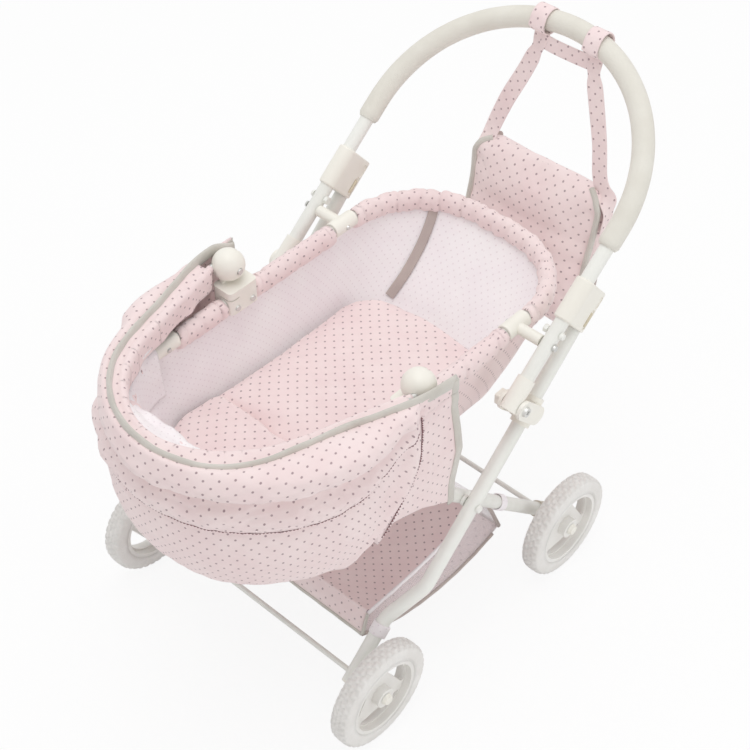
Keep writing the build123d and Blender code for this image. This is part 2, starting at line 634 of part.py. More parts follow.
# Pillow end of the bed, thicker and more crowned
PILLOW_T = 24.0
PILLOW_CROWN = 9.0
with BuildPart() as pillow:
    with BuildSketch(Plane(origin=(0, MAT_Y[0] - 1.5, MAT_Z), x_dir=(1, 0, 0), z_dir=(0, -1, 0))):
        with BuildLine():
            Line((-BED_X + 4, 0), (BED_X - 4, 0))
            ThreePointArc((BED_X - 4, 0), (BED_X + 0.5, PILLOW_T / 2), (BED_X - 4, PILLOW_T))
            ThreePointArc((BED_X - 4, PILLOW_T), (0, PILLOW_T + PILLOW_CROWN), (-BED_X + 4, PILLOW_T))
            ThreePointArc((-BED_X + 4, PILLOW_T), (-BED_X - 0.5, PILLOW_T / 2), (-BED_X + 4, 0))
        make_face()
    extrude(amount=PILLOW_LEN)
    with BuildSketch(Plane.XY.offset(MAT_Z - 1)):
        with Locations((0, BED_MID)):
            RectangleRounded(2 * BED_X + 2, BED_LEN, BED_CORNER)
    extrude(amount=3 * PILLOW_T, mode=Mode.INTERSECT)
    crest = pillow.edges().group_by(Axis.Z)[-1]
    fillet(pillow.faces().sort_by(Axis.Y)[-1].edges().sort_by(Axis.Z)[-1], 7)
pillow.part.label = "pillow"
export_step(pillow.part, "parts/pillow.step")

# Tape sewn over the lining's one seam, up the inside of a rear corner
TAPE_W = 9.0
TAPE_T = 0.8
TAPE_TURN = radians(32)    # place on the corner, measured round from straight behind
TAPE_SPAN = (0.24, 0.96)   # from the top of the mattress to just under the sleeve
with BuildPart() as seam_tapes:
    for sx in (SIDES["right"],):
        ends_of_line = []
        for z, half_x, ends, front_corner, rear_corner in TUB_LEVELS:
            round_r = rear_corner - TUB_T
            x = half_x - rear_corner + round_r * sin(TAPE_TURN)
            y = ends[1] - rear_corner + round_r * cos(TAPE_TURN)
            ends_of_line.append(Vector(sx * x, y, z + TUB_T if z == TUB_FLOOR else z))
        rise = ends_of_line[1] - ends_of_line[0]
        foot = ends_of_line[0] + rise * TAPE_SPAN[0]
        along = (sx * cos(TAPE_TURN), -sin(TAPE_TURN), 0)
        with BuildSketch(Plane(origin=foot, x_dir=along, z_dir=rise)):
            with Locations((0, -sx * (TAPE_T / 2 + 0.3))):
                Rectangle(TAPE_W, TAPE_T)
        extrude(amount=rise.length * (TAPE_SPAN[1] - TAPE_SPAN[0]))
seam_tapes.part.label = "seam_tapes"
export_step(seam_tapes.part, "parts/seam_tapes.step")

# Hood clamps: split blocks on the rim with a tongue each knob turns on
KNOB_X = 134.0
KNOB = (CLAMP_Y, 413.0)
KNOB_R = 18.0
TONGUE_T = 5.0
TONGUE_R = 12.0
CLAMP_W = 28.0
CLAMP_TOP = KNOB[1] - KNOB_R - GAP
CLAMP_LOW = RIM_Z - SLEEVE_R
with BuildPart() as hood_clamps:
    for sx in SIDES.values():
        with BuildSketch(Plane.XY.offset(CLAMP_LOW)):
            with Locations((sx * (RIM_X + 2), CLAMP_Y)):
                RectangleRounded(CLAMP_W, CLAMP_LEN, 5)
        extrude(amount=CLAMP_TOP - CLAMP_LOW)
        with BuildSketch(out_plane(sx, KNOB_X - TONGUE_T / 2, (CLAMP_Y, CLAMP_TOP))):
            with Locations((0, 0)):
                Rectangle(2 * TONGUE_R, 2)
        extrude(amount=TONGUE_T)
        with BuildSketch(Plane.XY.offset(CLAMP_TOP - 1)):
            with Locations((sx * KNOB_X, CLAMP_Y)):
                Rectangle(TONGUE_T, 2 * TONGUE_R)
        extrude(amount=KNOB[1] - CLAMP_TOP + 1)
        with BuildSketch(out_plane(sx, KNOB_X - TONGUE_T / 2, KNOB)):
            Circle(TONGUE_R)
        extrude(amount=TONGUE_T)
        with BuildSketch(Plane(origin=(sx * RIM_X, CLAMP_Y - CLAMP_LEN, RIM_Z), z_dir=(0, 1, 0))):
            Circle(RIM_R)
        extrude(amount=2 * CLAMP_LEN, mode=Mode.SUBTRACT)
        with BuildSketch(Plane.XY.offset(RIM_Z + RIM_R + 3)):
            with Locations((sx * (RIM_X - 8), CLAMP_Y - CLAMP_LEN / 2)):
                Rectangle(CLAMP_W, 24)
        extrude(amount=1.6, mode=Mode.SUBTRACT)
        with BuildSketch(out_plane(sx, KNOB_X - TONGUE_T, KNOB)):
            Circle(TEE_PIN_R + RUN)
        extrude(amount=2 * TONGUE_T, mode=Mode.SUBTRACT)
hood_clamps.part.label = "hood_clamps"
export_step(hood_clamps.part, "parts/hood_clamps.step")

# Two screws close each clamp, heads on the inside
with BuildPart() as clamp_screws:
    for sx in SIDES.values():
        for dy in (-11, 11):
            with BuildSketch(out_plane(-sx, CLAMP_W / 2 - RIM_X - 2, (CLAMP_Y + dy, CLAMP_LOW + 7))):
                Circle(3.6)
            extrude(amount=2, taper=15)
clamp_screws.part.label = "clamp_screws"
export_step(clamp_screws.part, "parts/clamp_screws.step")

# Ball knobs of the hood, slotted underneath and behind for the tongue
BOW_R = 4.0
BOW_X = 142.0
BOW_START = -TEE_PIN_R - 2
HOOD_TILT = radians(3.4)   # the free edge of the folded hood rises a little to the front
HOOD_SWING = radians(95)
SLOT_RISE = KNOB_R * sin(HOOD_SWING - radians(90)) + GAP


def edge_plane(z):
    """Plane of the folded hood's free edge, with its y measured from the knobs."""
    return Plane(origin=(0, KNOB[0], z), x_dir=(1, 0, 0), z_dir=(0, sin(HOOD_TILT), cos(HOOD_TILT)))


with BuildPart() as hood_knobs:
    for sx in SIDES.values():
        with BuildSketch(Plane(origin=(sx * KNOB_X, KNOB[0], KNOB[1]), x_dir=(1, 0, 0), z_dir=(0, -1, 0))):
            Circle(KNOB_R)
            with Locations((0, -KNOB_R)):
                Rectangle(4 * KNOB_R, 2 * KNOB_R, mode=Mode.SUBTRACT)
        revolve(axis=Axis((0, KNOB[0], KNOB[1]), (1, 0, 0)))
        with BuildSketch(side_plane(sx * KNOB_X, (1, 0), KNOB)):
            Circle(TONGUE_R + GAP)
            with Locations((KNOB_R / 2, -KNOB_R / 2)):
                Rectangle(KNOB_R + 2 * (TONGUE_R + GAP), KNOB_R + 2 * (TONGUE_R + GAP))
            with Locations((KNOB_R, SLOT_RISE / 2)):
                Rectangle(2 * KNOB_R, 2 * (TONGUE_R + GAP) + SLOT_RISE)
        extrude(amount=TONGUE_T / 2 + GAP, both=True, mode=Mode.SUBTRACT)
        with BuildSketch(out_plane(sx, KNOB_X - 2 * KNOB_R, KNOB)):
            Circle(TEE_PIN_R)
        extrude(amount=4 * KNOB_R, mode=Mode.SUBTRACT)
        with BuildSketch(out_plane(-sx, 15 - KNOB_X, KNOB)):
            Circle(KNOB_HEAD_R)
        extrude(amount=KNOB_R, mode=Mode.SUBTRACT)
        bow_start = edge_plane(KNOB[1]).from_local_coords(Vector(sx * BOW_X, BOW_START, 0))
        with BuildSketch(Plane(origin=bow_start, z_dir=(0, -cos(HOOD_TILT), sin(HOOD_TILT)))):
            Circle(BOW_R + 0.2)
        extrude(amount=KNOB_R, mode=Mode.SUBTRACT)
hood_knobs.part.label = "hood_knobs"
export_step(hood_knobs.part, "parts/hood_knobs.step")

with BuildPart() as knob_pins:
    for sx in SIDES.values():
        with BuildSketch(out_plane(sx, KNOB_X - 15, KNOB)):
            Circle(TEE_PIN_R)
        extrude(amount=28)
        with BuildSketch(out_plane(-sx, 15 - KNOB_X, KNOB)):
            Circle(KNOB_HEAD_R)
        extrude(amount=4, taper=10)
knob_pins.part.label = "knob_pins"
export_step(knob_pins.part, "parts/knob_pins.step")

# Hood bow: bent rod from knob to knob round the front
HOOD_R = 162.0
HOOD_Y = -167.5
EDGE_HALF = 157.0
EDGE_MID = (131.0, -99.5)
EDGE_TURN = (98.0, -186.5)
EDGE_NOSE = -242.5
BOW_IN = 10.0
with BuildPart() as hood_bow:
    with BuildLine(edge_plane(KNOB[1])):
        Spline(
            (BOW_X, BOW_START),
            (BOW_X - 0.3, -KNOB_R),
            (EDGE_MID[0] - BOW_IN, EDGE_MID[1] + BOW_IN / 3),
            (EDGE_TURN[0] - BOW_IN, EDGE_TURN[1] + BOW_IN / 2),
            (0, EDGE_NOSE + BOW_IN),
            (-EDGE_TURN[0] + BOW_IN, EDGE_TURN[1] + BOW_IN / 2),
            (-EDGE_MID[0] + BOW_IN, EDGE_MID[1] + BOW_IN / 3),
            (-BOW_X + 0.3, -KNOB_R),
            (-BOW_X, BOW_START),
        )
    bow_start = edge_plane(KNOB[1]).from_local_coords(Vector(BOW_X, BOW_START, 0))
    with BuildSketch(Plane(origin=bow_start, z_dir=(0, -cos(HOOD_TILT), sin(HOOD_TILT)))):
        Circle(BOW_R)
    sweep()
hood_bow.part.label = "hood_bow"
export_step(hood_bow.part, "parts/hood_bow.step")

# Satin binding along the free edge of the hood
TRIM_R = 5.0
TRIM_Z = KNOB[1] + 7
TRIM_END = 26.0
EDGE_START = -4.0
with BuildPart() as hood_trim:
    with BuildLine(edge_plane(TRIM_Z)):
        Spline(
            (EDGE_HALF, TRIM_END), (EDGE_HALF, EDGE_START), EDGE_MID, EDGE_TURN, (0, EDGE_NOSE),
            (-EDGE_TURN[0], EDGE_TURN[1]), (-EDGE_MID[0], EDGE_MID[1]),
            (-EDGE_HALF, EDGE_START), (-EDGE_HALF, TRIM_END),
        )
    trim_start = edge_plane(TRIM_Z).from_local_coords(Vector(EDGE_HALF, TRIM_END, 0))
    with BuildSketch(Plane(origin=trim_start, x_dir=(1, 0, 0), z_dir=(0, -cos(HOOD_TILT), sin(HOOD_TILT)))):
        Ellipse(2.2, TRIM_R)
    sweep()
hood_trim.part.label = "hood_trim"
export_step(hood_trim.part, "parts/hood_trim.step")

# Hood cloth, folded down round the front: a puffed band above a sewn line, a skirt below it
CLOTH_T = 2.2
HOOD_EDGE = TRIM_Z - TRIM_R - SOFT_GAP
HOOD_TOP = HOOD_EDGE - 10.5
HOOD_SEAM = 348.0
HOOD_LOW = 246.0
HOOD_IN = FRAME_X - TUBE_R - CLOTH_T - 2 * GAP
HOOD_TAPER = 18.0
BAND_PUFF = 5.0


HOOD_BEND_Y = HOOD_Y + 44
FLAP_Y = CLAMP_Y + 28
# The cloth in section at two places: (y, how far the band puffs out, how far the skirt draws in)
HOOD_CUTS = ((HOOD_Y, BAND_PUFF, HOOD_TAPER), (HOOD_BEND_Y, 0.6, 0.6))
HOOD_STEPS = {"front": HOOD_CUTS[:1], "bend": HOOD_CUTS, "flap": HOOD_CUTS[1:]}
BAND_MID = (HOOD_TOP + HOOD_SEAM) / 2
SKIRT_MID = (HOOD_SEAM + HOOD_LOW) / 2
with BuildPart() as hood_cloth:
    for sx in SIDES.values():
        for step, cuts in HOOD_STEPS.items():
            if step == "front" and sx < 0:
                continue
            for y, puff, taper in cuts:
                with BuildSketch(Plane(origin=(sx * HOOD_IN, y, 0), x_dir=(sx, 0, 0), z_dir=(0, -sx, 0))):
                    slack = 0.25 * puff - 0.2 * taper
                    with BuildLine():
                        Line((0, HOOD_TOP), (CLOTH_T, HOOD_TOP))
                        ThreePointArc((CLOTH_T, HOOD_TOP), (CLOTH_T + puff, BAND_MID), (CLOTH_T, HOOD_SEAM))
                        ThreePointArc((CLOTH_T, HOOD_SEAM), (CLOTH_T + slack, SKIRT_MID), (CLOTH_T - taper, HOOD_LOW))
                        Line((CLOTH_T - taper, HOOD_LOW), (-taper, HOOD_LOW))
                        ThreePointArc((-taper, HOOD_LOW), (slack, SKIRT_MID), (0, HOOD_SEAM))
                        ThreePointArc((0, HOOD_SEAM), (puff, BAND_MID), (0, HOOD_TOP))
                    make_face()
            if step == "front":
                revolve(axis=Axis((0, HOOD_Y, 0), (0, 0, -1)), revolution_arc=180)
            elif step == "bend":
                loft()
            else:
                extrude(amount=FLAP_Y - HOOD_BEND_Y, dir=(0, 1, 0))
    # Shoulder of the cloth, from the band in to the free edge; its foot is sunk in the band
    for low_x, inset, rear in ((HOOD_IN + 1.7, 0, FLAP_Y - 1), (HOOD_IN + 0.6, 1.4, FLAP_Y + 20)):
        edge_x = EDGE_HALF - inset
        with BuildSketch(Plane.XY.offset(HOOD_TOP - 1), mode=Mode.PRIVATE) as low_face:
            with BuildLine():
                Line((low_x, rear), (low_x, HOOD_Y))
                CenterArc((0, HOOD_Y), low_x, 0, -180)
                Line((-low_x, HOOD_Y), (-low_x, rear))
                Line((-low_x, rear), (low_x, rear))
            make_face()
        with BuildSketch(edge_plane(HOOD_EDGE), mode=Mode.PRIVATE) as top_face:
            with BuildLine():
                Line((edge_x, rear - KNOB[0]), (edge_x, EDGE_START))
                Spline(
                    (edge_x, EDGE_START),
                    (EDGE_MID[0] - inset, EDGE_MID[1]),
                    (EDGE_TURN[0] - 0.8 * inset, EDGE_TURN[1] + 0.6 * inset),
                    (0, EDGE_NOSE + inset),
                    (-EDGE_TURN[0] + 0.8 * inset, EDGE_TURN[1] + 0.6 * inset),
                    (-EDGE_MID[0] + inset, EDGE_MID[1]),
                    (-edge_x, EDGE_START),
                )
                Line((-edge_x, EDGE_START), (-edge_x, rear - KNOB[0]))
                Line((-edge_x, rear - KNOB[0]), (edge_x, rear - KNOB[0]))
            make_face()
        hull = Solid.make_loft([f.sketch.face().outer_wire() for f in (low_face, top_face)], ruled=True)
        shoulder = hull if inset == 0 else shoulder - hull
    add(shoulder)
hood_cloth.part.label = "hood_cloth"
export_step(hood_cloth.part, "parts/hood_cloth.step")

# Shopping basket: sagging floor, low front lip, net sides and back, bound edges
BASKET_X = 127.0
BASKET_T = 2.0
NET_T = 1.2
BIND_R = 2.0
BASKET_FRONT = (-161.0, 88.0)
BASKET_DIP = (-40.0, 50.0)
BASKET_REAR = (72.0, 66.0)
LIP_TOP = (-152.0, 116.0)
NET_TOP = (40.0, 140.0)
with BuildPart() as basket_floor:
    with BuildSketch(Plane.YZ.offset(-BASKET_X)):
        with BuildLine():
            ThreePointArc(BASKET_FRONT, BASKET_DIP, BASKET_REAR)
            Line(BASKET_REAR, (BASKET_REAR[0], BASKET_REAR[1] - BASKET_T))
            ThreePointArc(
                (BASKET_REAR[0], BASKET_REAR[1] - BASKET_T),
                (BASKET_DIP[0], BASKET_DIP[1] - BASKET_T),
                (BASKET_FRONT[0], BASKET_FRONT[1] - BASKET_T),
            )
            Line((BASKET_FRONT[0], BASKET_FRONT[1] - BASKET_T), BASKET_FRONT)
        make_face()
    extrude(amount=2 * BASKET_X)
basket_floor.part.label = "basket_floor"
export_step(basket_floor.part, "parts/basket_floor.step")

with BuildPart() as basket_front:
    with BuildSketch(Plane.YZ.offset(-BASKET_X)):
        with BuildLine():
            lip_mid = ((BASKET_FRONT[0] + LIP_TOP[0]) / 2 - 3, (BASKET_FRONT[1] + LIP_TOP[1]) / 2)
            ThreePointArc(BASKET_FRONT, lip_mid, LIP_TOP)
            Line(LIP_TOP, (LIP_TOP[0] + BASKET_T, LIP_TOP[1]))
            ThreePointArc(
                (LIP_TOP[0] + BASKET_T, LIP_TOP[1]),
                (lip_mid[0] + BASKET_T, lip_mid[1]),
                (BASKET_FRONT[0] + BASKET_T, BASKET_FRONT[1]),
            )
            Line((BASKET_FRONT[0] + BASKET_T, BASKET_FRONT[1]), BASKET_FRONT)
        make_face()
    extrude(amount=2 * BASKET_X)
basket_front.part.label = "basket_front"
export_step(basket_front.part, "parts/basket_front.step")

BACK_RUN = hypot(NET_TOP[0] - BASKET_REAR[0], NET_TOP[1] - BASKET_REAR[1])
U_BACK = ((NET_TOP[0] - BASKET_REAR[0]) / BACK_RUN, (NET_TOP[1] - BASKET_REAR[1]) / BACK_RUN)
with BuildPart() as basket_net:
    for x in (BASKET_X, -BASKET_X - NET_T):
        with BuildSketch(Plane.YZ.offset(x)):
            with BuildLine():
                ThreePointArc(BASKET_FRONT, BASKET_DIP, BASKET_REAR)
                Line(BASKET_REAR, NET_TOP)
                ThreePointArc(
                    NET_TOP,
                    ((NET_TOP[0] + LIP_TOP[0]) / 2, (NET_TOP[1] + LIP_TOP[1]) / 2 - 8),
                    LIP_TOP,
                )
                Line(LIP_TOP, BASKET_FRONT)
            make_face()
        extrude(amount=NET_T)
    with BuildSketch(cut_plane(0, U_BACK, BASKET_REAR)):
        with Locations((0, NET_T / 2)):
            Rectangle(2 * BASKET_X, NET_T)
    extrude(amount=BACK_RUN)
basket_net.part.label = "basket_net"
export_step(basket_net.part, "parts/basket_net.step")

BIND_X = BASKET_X + NET_T + BIND_R
with BuildPart() as basket_binding:
    for sx in SIDES.values():
        with BuildLine(Plane.YZ.offset(sx * BIND_X)) as bind_path:
            Polyline(BASKET_REAR, NET_TOP, LIP_TOP, BASKET_FRONT)
            inner = bind_path.vertices().filter_by(
                lambda v: abs(v.Z - NET_TOP[1]) < 1 or abs(v.Z - LIP_TOP[1]) < 1
            )
            fillet(inner, 8)
        with BuildSketch(Plane(origin=(sx * BIND_X, *BASKET_REAR), z_dir=(0, U_BACK[0], U_BACK[1]))):
            Circle(BIND_R)
        sweep()
    lip_edge = (LIP_TOP[0] + BASKET_T / 2, LIP_TOP[1] + BIND_R)
    front_edge = (BASKET_FRONT[0] - BIND_R, BASKET_FRONT[1] - BASKET_T)
    for y, z in (lip_edge, front_edge):
        with BuildSketch(Plane(origin=(0, y, z), z_dir=(1, 0, 0))):
            Circle(BIND_R)
        extrude(amount=BASKET_X, both=True)
basket_binding.part.label = "basket_binding"
export_step(basket_binding.part, "parts/basket_binding.step")

# Cloth loops that hang the basket from the legs
LOOP_IN = TUBE_R + GAP
LOOP_R = LOOP_IN + 1.6
LOOP_W = 14.0
FRONT_LOOP_S = 50.0
REAR_LOOP_S = 112.0
HANGERS = {
    "front": (LEG_END_X, U_A, on_leg(FRONT_LOOP_S)),
    "rear": (REAR_LEG_X, U_B, on_rear(REAR_LOOP_S)),
}
for name, (x, u, spot) in HANGERS.items():
    tab = x - LOOP_IN - BIND_X - BIND_R - GAP
    with BuildPart() as loops:
        for sx in SIDES.values():
            with BuildSketch(cut_plane(sx * x, u, spot)):
                Circle(LOOP_R)
                with Locations((-sx * (LOOP_IN + tab / 2), 0)):
                    Rectangle(tab, 1.6)
                Circle(LOOP_IN, mode=Mode.SUBTRACT)
            extrude(amount=LOOP_W)
    loops.part.label = "basket_loops_" + name
    export_step(loops.part, "parts/basket_loops_" + name + ".step")

# Bag hung on the arch: two strap loops round the grip, straps spreading to a soft body
STRAP_X = 36.0
STRAP_W = 18.0
STRAP_T = 2.0
BAG_HALF = 95.0
STRAP_FOOT_X = BAG_HALF - 13
BAG_DROP = 155.0
BAG_H = 190.0
BAG_T = 40.0
BAG_CORNER = 24.0
BAG_EDGE = 6.0
BAG_LEAN = radians(11.3)
BAG_HINGE = on_handle(ARCH_S + sqrt(FRAME_X ** 2 - STRAP_X ** 2))
U_BAG = (sin(BAG_LEAN), cos(BAG_LEAN))
BAG_PLANE = flat_plane(U_BAG, BAG_HINGE)
RING_IN = GRIP_D / 2 + 2.7
RING_R = RING_IN + STRAP_T
with BuildPart() as bag_body:
    with BuildSketch(BAG_PLANE):
        with Locations((0, -BAG_DROP - BAG_H / 2)):
            RectangleRounded(2 * BAG_HALF, BAG_H, BAG_CORNER)
    extrude(amount=BAG_T / 2, both=True)
    fillet(bag_body.faces().filter_by(BAG_PLANE).edges(), BAG_EDGE)
bag_body.part.label = "bag_body"
export_step(bag_body.part, "parts/bag_body.step")

with BuildPart() as bag_straps:
    for sx in SIDES.values():
        with BuildSketch(Plane(origin=(sx * STRAP_X - STRAP_W / 2, *BAG_HINGE), z_dir=(1, 0, 0))):
            Circle(RING_R)
            Circle(RING_IN, mode=Mode.SUBTRACT)
        extrude(amount=STRAP_W)
        with BuildSketch(BAG_PLANE):
            with BuildLine():
                Polyline(
                    (sx * (STRAP_X - STRAP_W / 2), -RING_IN - STRAP_T / 2),
                    (sx * (STRAP_X + STRAP_W / 2), -RING_IN - STRAP_T / 2),
                    (sx * (STRAP_FOOT_X + STRAP_W / 2), -BAG_DROP),
                    (sx * (STRAP_FOOT_X - STRAP_W / 2), -BAG_DROP),
                    close=True,
                )
            make_face()
        extrude(amount=STRAP_T / 2, both=True)
    with BuildSketch(BAG_PLANE):
        with Locations((0, -RING_R - 12)):
            Rectangle(2 * STRAP_X, STRAP_W - 4)
    extrude(amount=STRAP_T / 2, both=True)
bag_straps.part.label = "bag_straps"
export_step(bag_straps.part, "parts/bag_straps.step")

PIPE_R = 1.75
PIPE_IN = BAG_EDGE - (BAG_EDGE + PIPE_R) * sqrt(0.5)
with BuildPart() as bag_piping:
    for face in (-1, 1):
        ring_plane = BAG_PLANE.offset(face * (BAG_T / 2 - PIPE_IN))
        with BuildLine(ring_plane) as pipe_path:
            wide = BAG_HALF - PIPE_IN
            Polyline(
                (wide, -BAG_DROP - BAG_CORNER), (wide, -BAG_DROP - BAG_H + PIPE_IN),
                (-wide, -BAG_DROP - BAG_H + PIPE_IN), (-wide, -BAG_DROP - BAG_CORNER),
            )
            fillet(pipe_path.vertices().sort_by(Axis.Z)[0:2], BAG_CORNER - PIPE_IN)
        start = ring_plane.from_local_coords((wide, -BAG_DROP - BAG_CORNER, 0))
        with BuildSketch(Plane(origin=start, z_dir=(0, -U_BAG[0], -U_BAG[1]))):
            Circle(PIPE_R)
        sweep()
bag_piping.part.label = "bag_piping"
export_step(bag_piping.part, "parts/bag_piping.step")
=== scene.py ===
import json
import math
import bmesh
import bpy
import numpy as np
from mathutils import Matrix, Vector, noise


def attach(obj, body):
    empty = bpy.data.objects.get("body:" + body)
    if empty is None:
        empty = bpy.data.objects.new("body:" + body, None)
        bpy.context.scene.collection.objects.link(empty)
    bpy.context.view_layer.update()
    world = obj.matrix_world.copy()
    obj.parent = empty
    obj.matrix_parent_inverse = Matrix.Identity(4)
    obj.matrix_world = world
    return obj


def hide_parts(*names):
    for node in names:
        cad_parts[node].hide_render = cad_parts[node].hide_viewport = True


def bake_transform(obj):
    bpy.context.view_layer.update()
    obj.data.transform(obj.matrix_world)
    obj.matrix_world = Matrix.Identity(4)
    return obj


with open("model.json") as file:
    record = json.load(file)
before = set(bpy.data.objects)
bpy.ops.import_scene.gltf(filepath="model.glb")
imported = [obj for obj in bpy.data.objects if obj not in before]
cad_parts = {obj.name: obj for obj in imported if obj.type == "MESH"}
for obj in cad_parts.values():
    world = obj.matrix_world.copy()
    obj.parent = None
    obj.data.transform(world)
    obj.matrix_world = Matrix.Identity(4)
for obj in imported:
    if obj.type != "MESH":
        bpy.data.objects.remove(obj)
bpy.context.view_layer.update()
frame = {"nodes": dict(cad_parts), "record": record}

MM = 0.001
scene = bpy.context.scene
SIDES = (("left", 1), ("right", -1))

# Sizes repeated from the solids, in millimetres
FRAME_X = 168.0
HANDLE_FOOT = (27.5, 330.0)
U_H = (math.cos(math.radians(39.5)), math.sin(math.radians(39.5)))
ARCH_S, GRIP_S, GRIP_R = 209.0, 187.0, 12.0
RIM_X, RIM_Z = 124.0, 375.0
RIM_Y = (-272.5, 201.5)
RIM_CORNERS = (66.0, 98.0)
REAR_TEE_Y, FRONT_TEE_Y, HALF_TEE = 82.1, -185.5, 17.5
CLAMP_Y, CLAMP_HALF = -79.5, 20.0
TUB_LOW_X, TUB_LOW_Y, TUB_LOW_CORNER = 104.0, (-242.0, 106.0), 62.0
TUB_FLOOR = 268.0
TUB_TOP = RIM_Z - 10.5
HOOD_Y, FLAP_Y, HOOD_R = -167.5, -51.5, 158.1
WHEEL_R, WHEEL_X = 65.0, 181.0
FRONT_AXLE, REAR_AXLE = (-193.5, 65.0), (125.5, 65.0)


# Mesh helpers. Points are worked in millimetres and stored in metres.
def make(name, verts, faces, mat, uvs=None):
    """One smooth mesh object; uvs holds one (u, v) per face corner, in millimetres of cloth."""
    mesh = bpy.data.meshes.new(name)
    mesh.from_pydata([tuple(v) for v in np.asarray(verts, float) * MM], [], faces)
    for m in mat if isinstance(mat, list) else [mat]:
        mesh.materials.append(m)
    if uvs is not None:
        layer = mesh.uv_layers.new(name="cloth")
        layer.data.foreach_set("uv", np.asarray(uvs, np.float32).ravel() * MM)
    smooth(mesh)
    mesh.update()
    obj = bpy.data.objects.new(name, mesh)
    scene.collection.objects.link(obj)
    return obj


def smooth(mesh):
    mesh.polygons.foreach_set("use_smooth", [True] * len(mesh.polygons))


def grid(name, pts, uv, mat, wrap_u=False, wrap_v=False):
    """A sheet from pts[n][m]; uv has one more row or column where it wraps."""
    pts = np.asarray(pts, float)
    n, m = pts.shape[:2]
    square = ((0, 0), (1, 0), (1, 1), (0, 1))
    faces, corners = [], []
    for i in range(n if wrap_u else n - 1):
        for j in range(m if wrap_v else m - 1):
            faces.append([((i + a) % n) * m + (j + b) % m for a, b in square])
            corners += [uv[i + a][j + b] for a, b in square]
    return make(name, pts.reshape(-1, 3), faces, mat, corners)


def smooth_line(points, n):
    """n points on a Catmull-Rom curve through the given points."""
    p = np.asarray(points, float)
    p = np.vstack([2 * p[0] - p[1], p, 2 * p[-1] - p[-2]])
    k = len(p) - 3
    out = []
    for x in np.linspace(0, k, n):
        i = min(int(x), k - 1)
        t = x - i
        a, b, c, d = p[i:i + 4]
        out.append(0.5 * (2 * b + (c - a) * t + (2 * a - 5 * b + 4 * c - d) * t * t
                          + (3 * b - a - 3 * c + d) * t ** 3))
    return np.array(out)


def run_of(points):
    """Distance of each point along the line, from 0."""
    return np.concatenate([[0], np.cumsum(np.linalg.norm(np.diff(points, axis=0), axis=1))])


def resample(points, n):
    """n even points on the line, and their distances along it."""
    p = np.asarray(points, float)
    run = run_of(p)
    s = np.linspace(0, run[-1], n)
    return np.stack([np.interp(s, run, p[:, k]) for k in range(p.shape[1])], 1), s


def even(points, step):
    """The same line with points about step apart, and their distances along it."""
    return resample(points, max(3, int(round(run_of(np.asarray(points, float))[-1] / step)) + 1))


def tangents(pts):
    """Unit direction of the line at each point."""
    t = np.gradient(np.asarray(pts, float), axis=0)
    return t / np.linalg.norm(t, axis=1)[:, None]


def frames_along(pts, up):
    """Two cross directions at each point, carried along without twist."""
    a = np.array(up, float)
    out_a, out_b = [], []
    for d in tangents(pts):
        a = a - d * a.dot(d)
        a /= np.linalg.norm(a)
        out_a.append(a)
        out_b.append(np.cross(d, a))
    return out_a, out_b


def tube(name, line, radius, mat, sides, up=(0, 0, 1), ends=True):
    """A tube along line; radius gives its two half widths from (distance, angle)."""
    pts, s = line
    a, b = frames_along(pts, up)
    ang = np.linspace(0, 2 * math.pi, sides, endpoint=False)
    rows = []
    for i, p in enumerate(pts):
        row = []
        for g in ang:
            r = radius(s[i], g)
            row.append(p + a[i] * r[0] * math.cos(g) + b[i] * r[1] * math.sin(g))
        rows.append(row)
    cols = np.append(ang, 2 * math.pi) * radius(s[len(pts) // 2], 0.0)[0]
    obj = grid(name, rows, [[(x, c) for c in cols] for x in s], mat, wrap_v=True)
    if ends:
        bm = bmesh.new()
        bm.from_mesh(obj.data)
        bm.verts.ensure_lookup_table()
        last = (len(pts) - 1) * sides
        for ring in (range(sides), range(last, last + sides)):
            f = bm.faces.new([bm.verts[k] for k in ring])
            f.smooth = False
        bm.normal_update()
        bm.to_mesh(obj.data)
        bm.free()
    return obj


STRAP_STEPS = (-1, -0.86, -0.4, 0, 0.4, 0.86, 1)
THIN_EDGE = 0.55


def ribbon(name, line, width, across, thick, mat):
    """A flat strap along line; across gives the width direction at each point."""
    pts, s = line
    t = tangents(pts)
    rows, uv = [], []
    for i, p in enumerate(pts):
        w = np.asarray(across(i) if callable(across) else across, float)
        w = w - t[i] * w.dot(t[i])
        w /= np.linalg.norm(w)
        nrm = np.cross(t[i], w)
        half = (width(s[i]) if callable(width) else width) / 2
        row, ruv = [], []
        for face, steps in ((1, STRAP_STEPS), (-1, STRAP_STEPS[::-1])):
            for k in steps:
                puff = thick / 2 * (THIN_EDGE if abs(k) == 1 else 1.0)
                row.append(p + w * half * k + nrm * puff * face)
                ruv.append((s[i], half * k))
        rows.append(row)
        uv.append(ruv + ruv[:1])
    return grid(name, rows, uv, mat, wrap_v=True)


def wave(x, y, z):
    """Smooth noise, about -1 to 1."""
    return noise.noise(Vector((x, y, z)))


def blend01(x, a, b):
    """Smooth step from 0 at a to 1 at b."""
    t = min(1.0, max(0.0, (x - a) / (b - a)))
    return t * t * (3 - 2 * t)


def bell(x, width):
    """1 at x = 0, falling off smoothly over width."""
    return math.exp(-(x / width) ** 2)


def fbm(p, scale, seed):
    """Smooth noise at point p, with waves about scale (mm) long."""
    return wave(p[0] / scale + seed, p[1] / scale - seed, p[2] / scale + 2 * seed)


def modifier(obj, kind, **props):
    m = obj.modifiers.new(kind.title(), kind)
    for k, v in props.items():
        setattr(m, k, v)
    return m


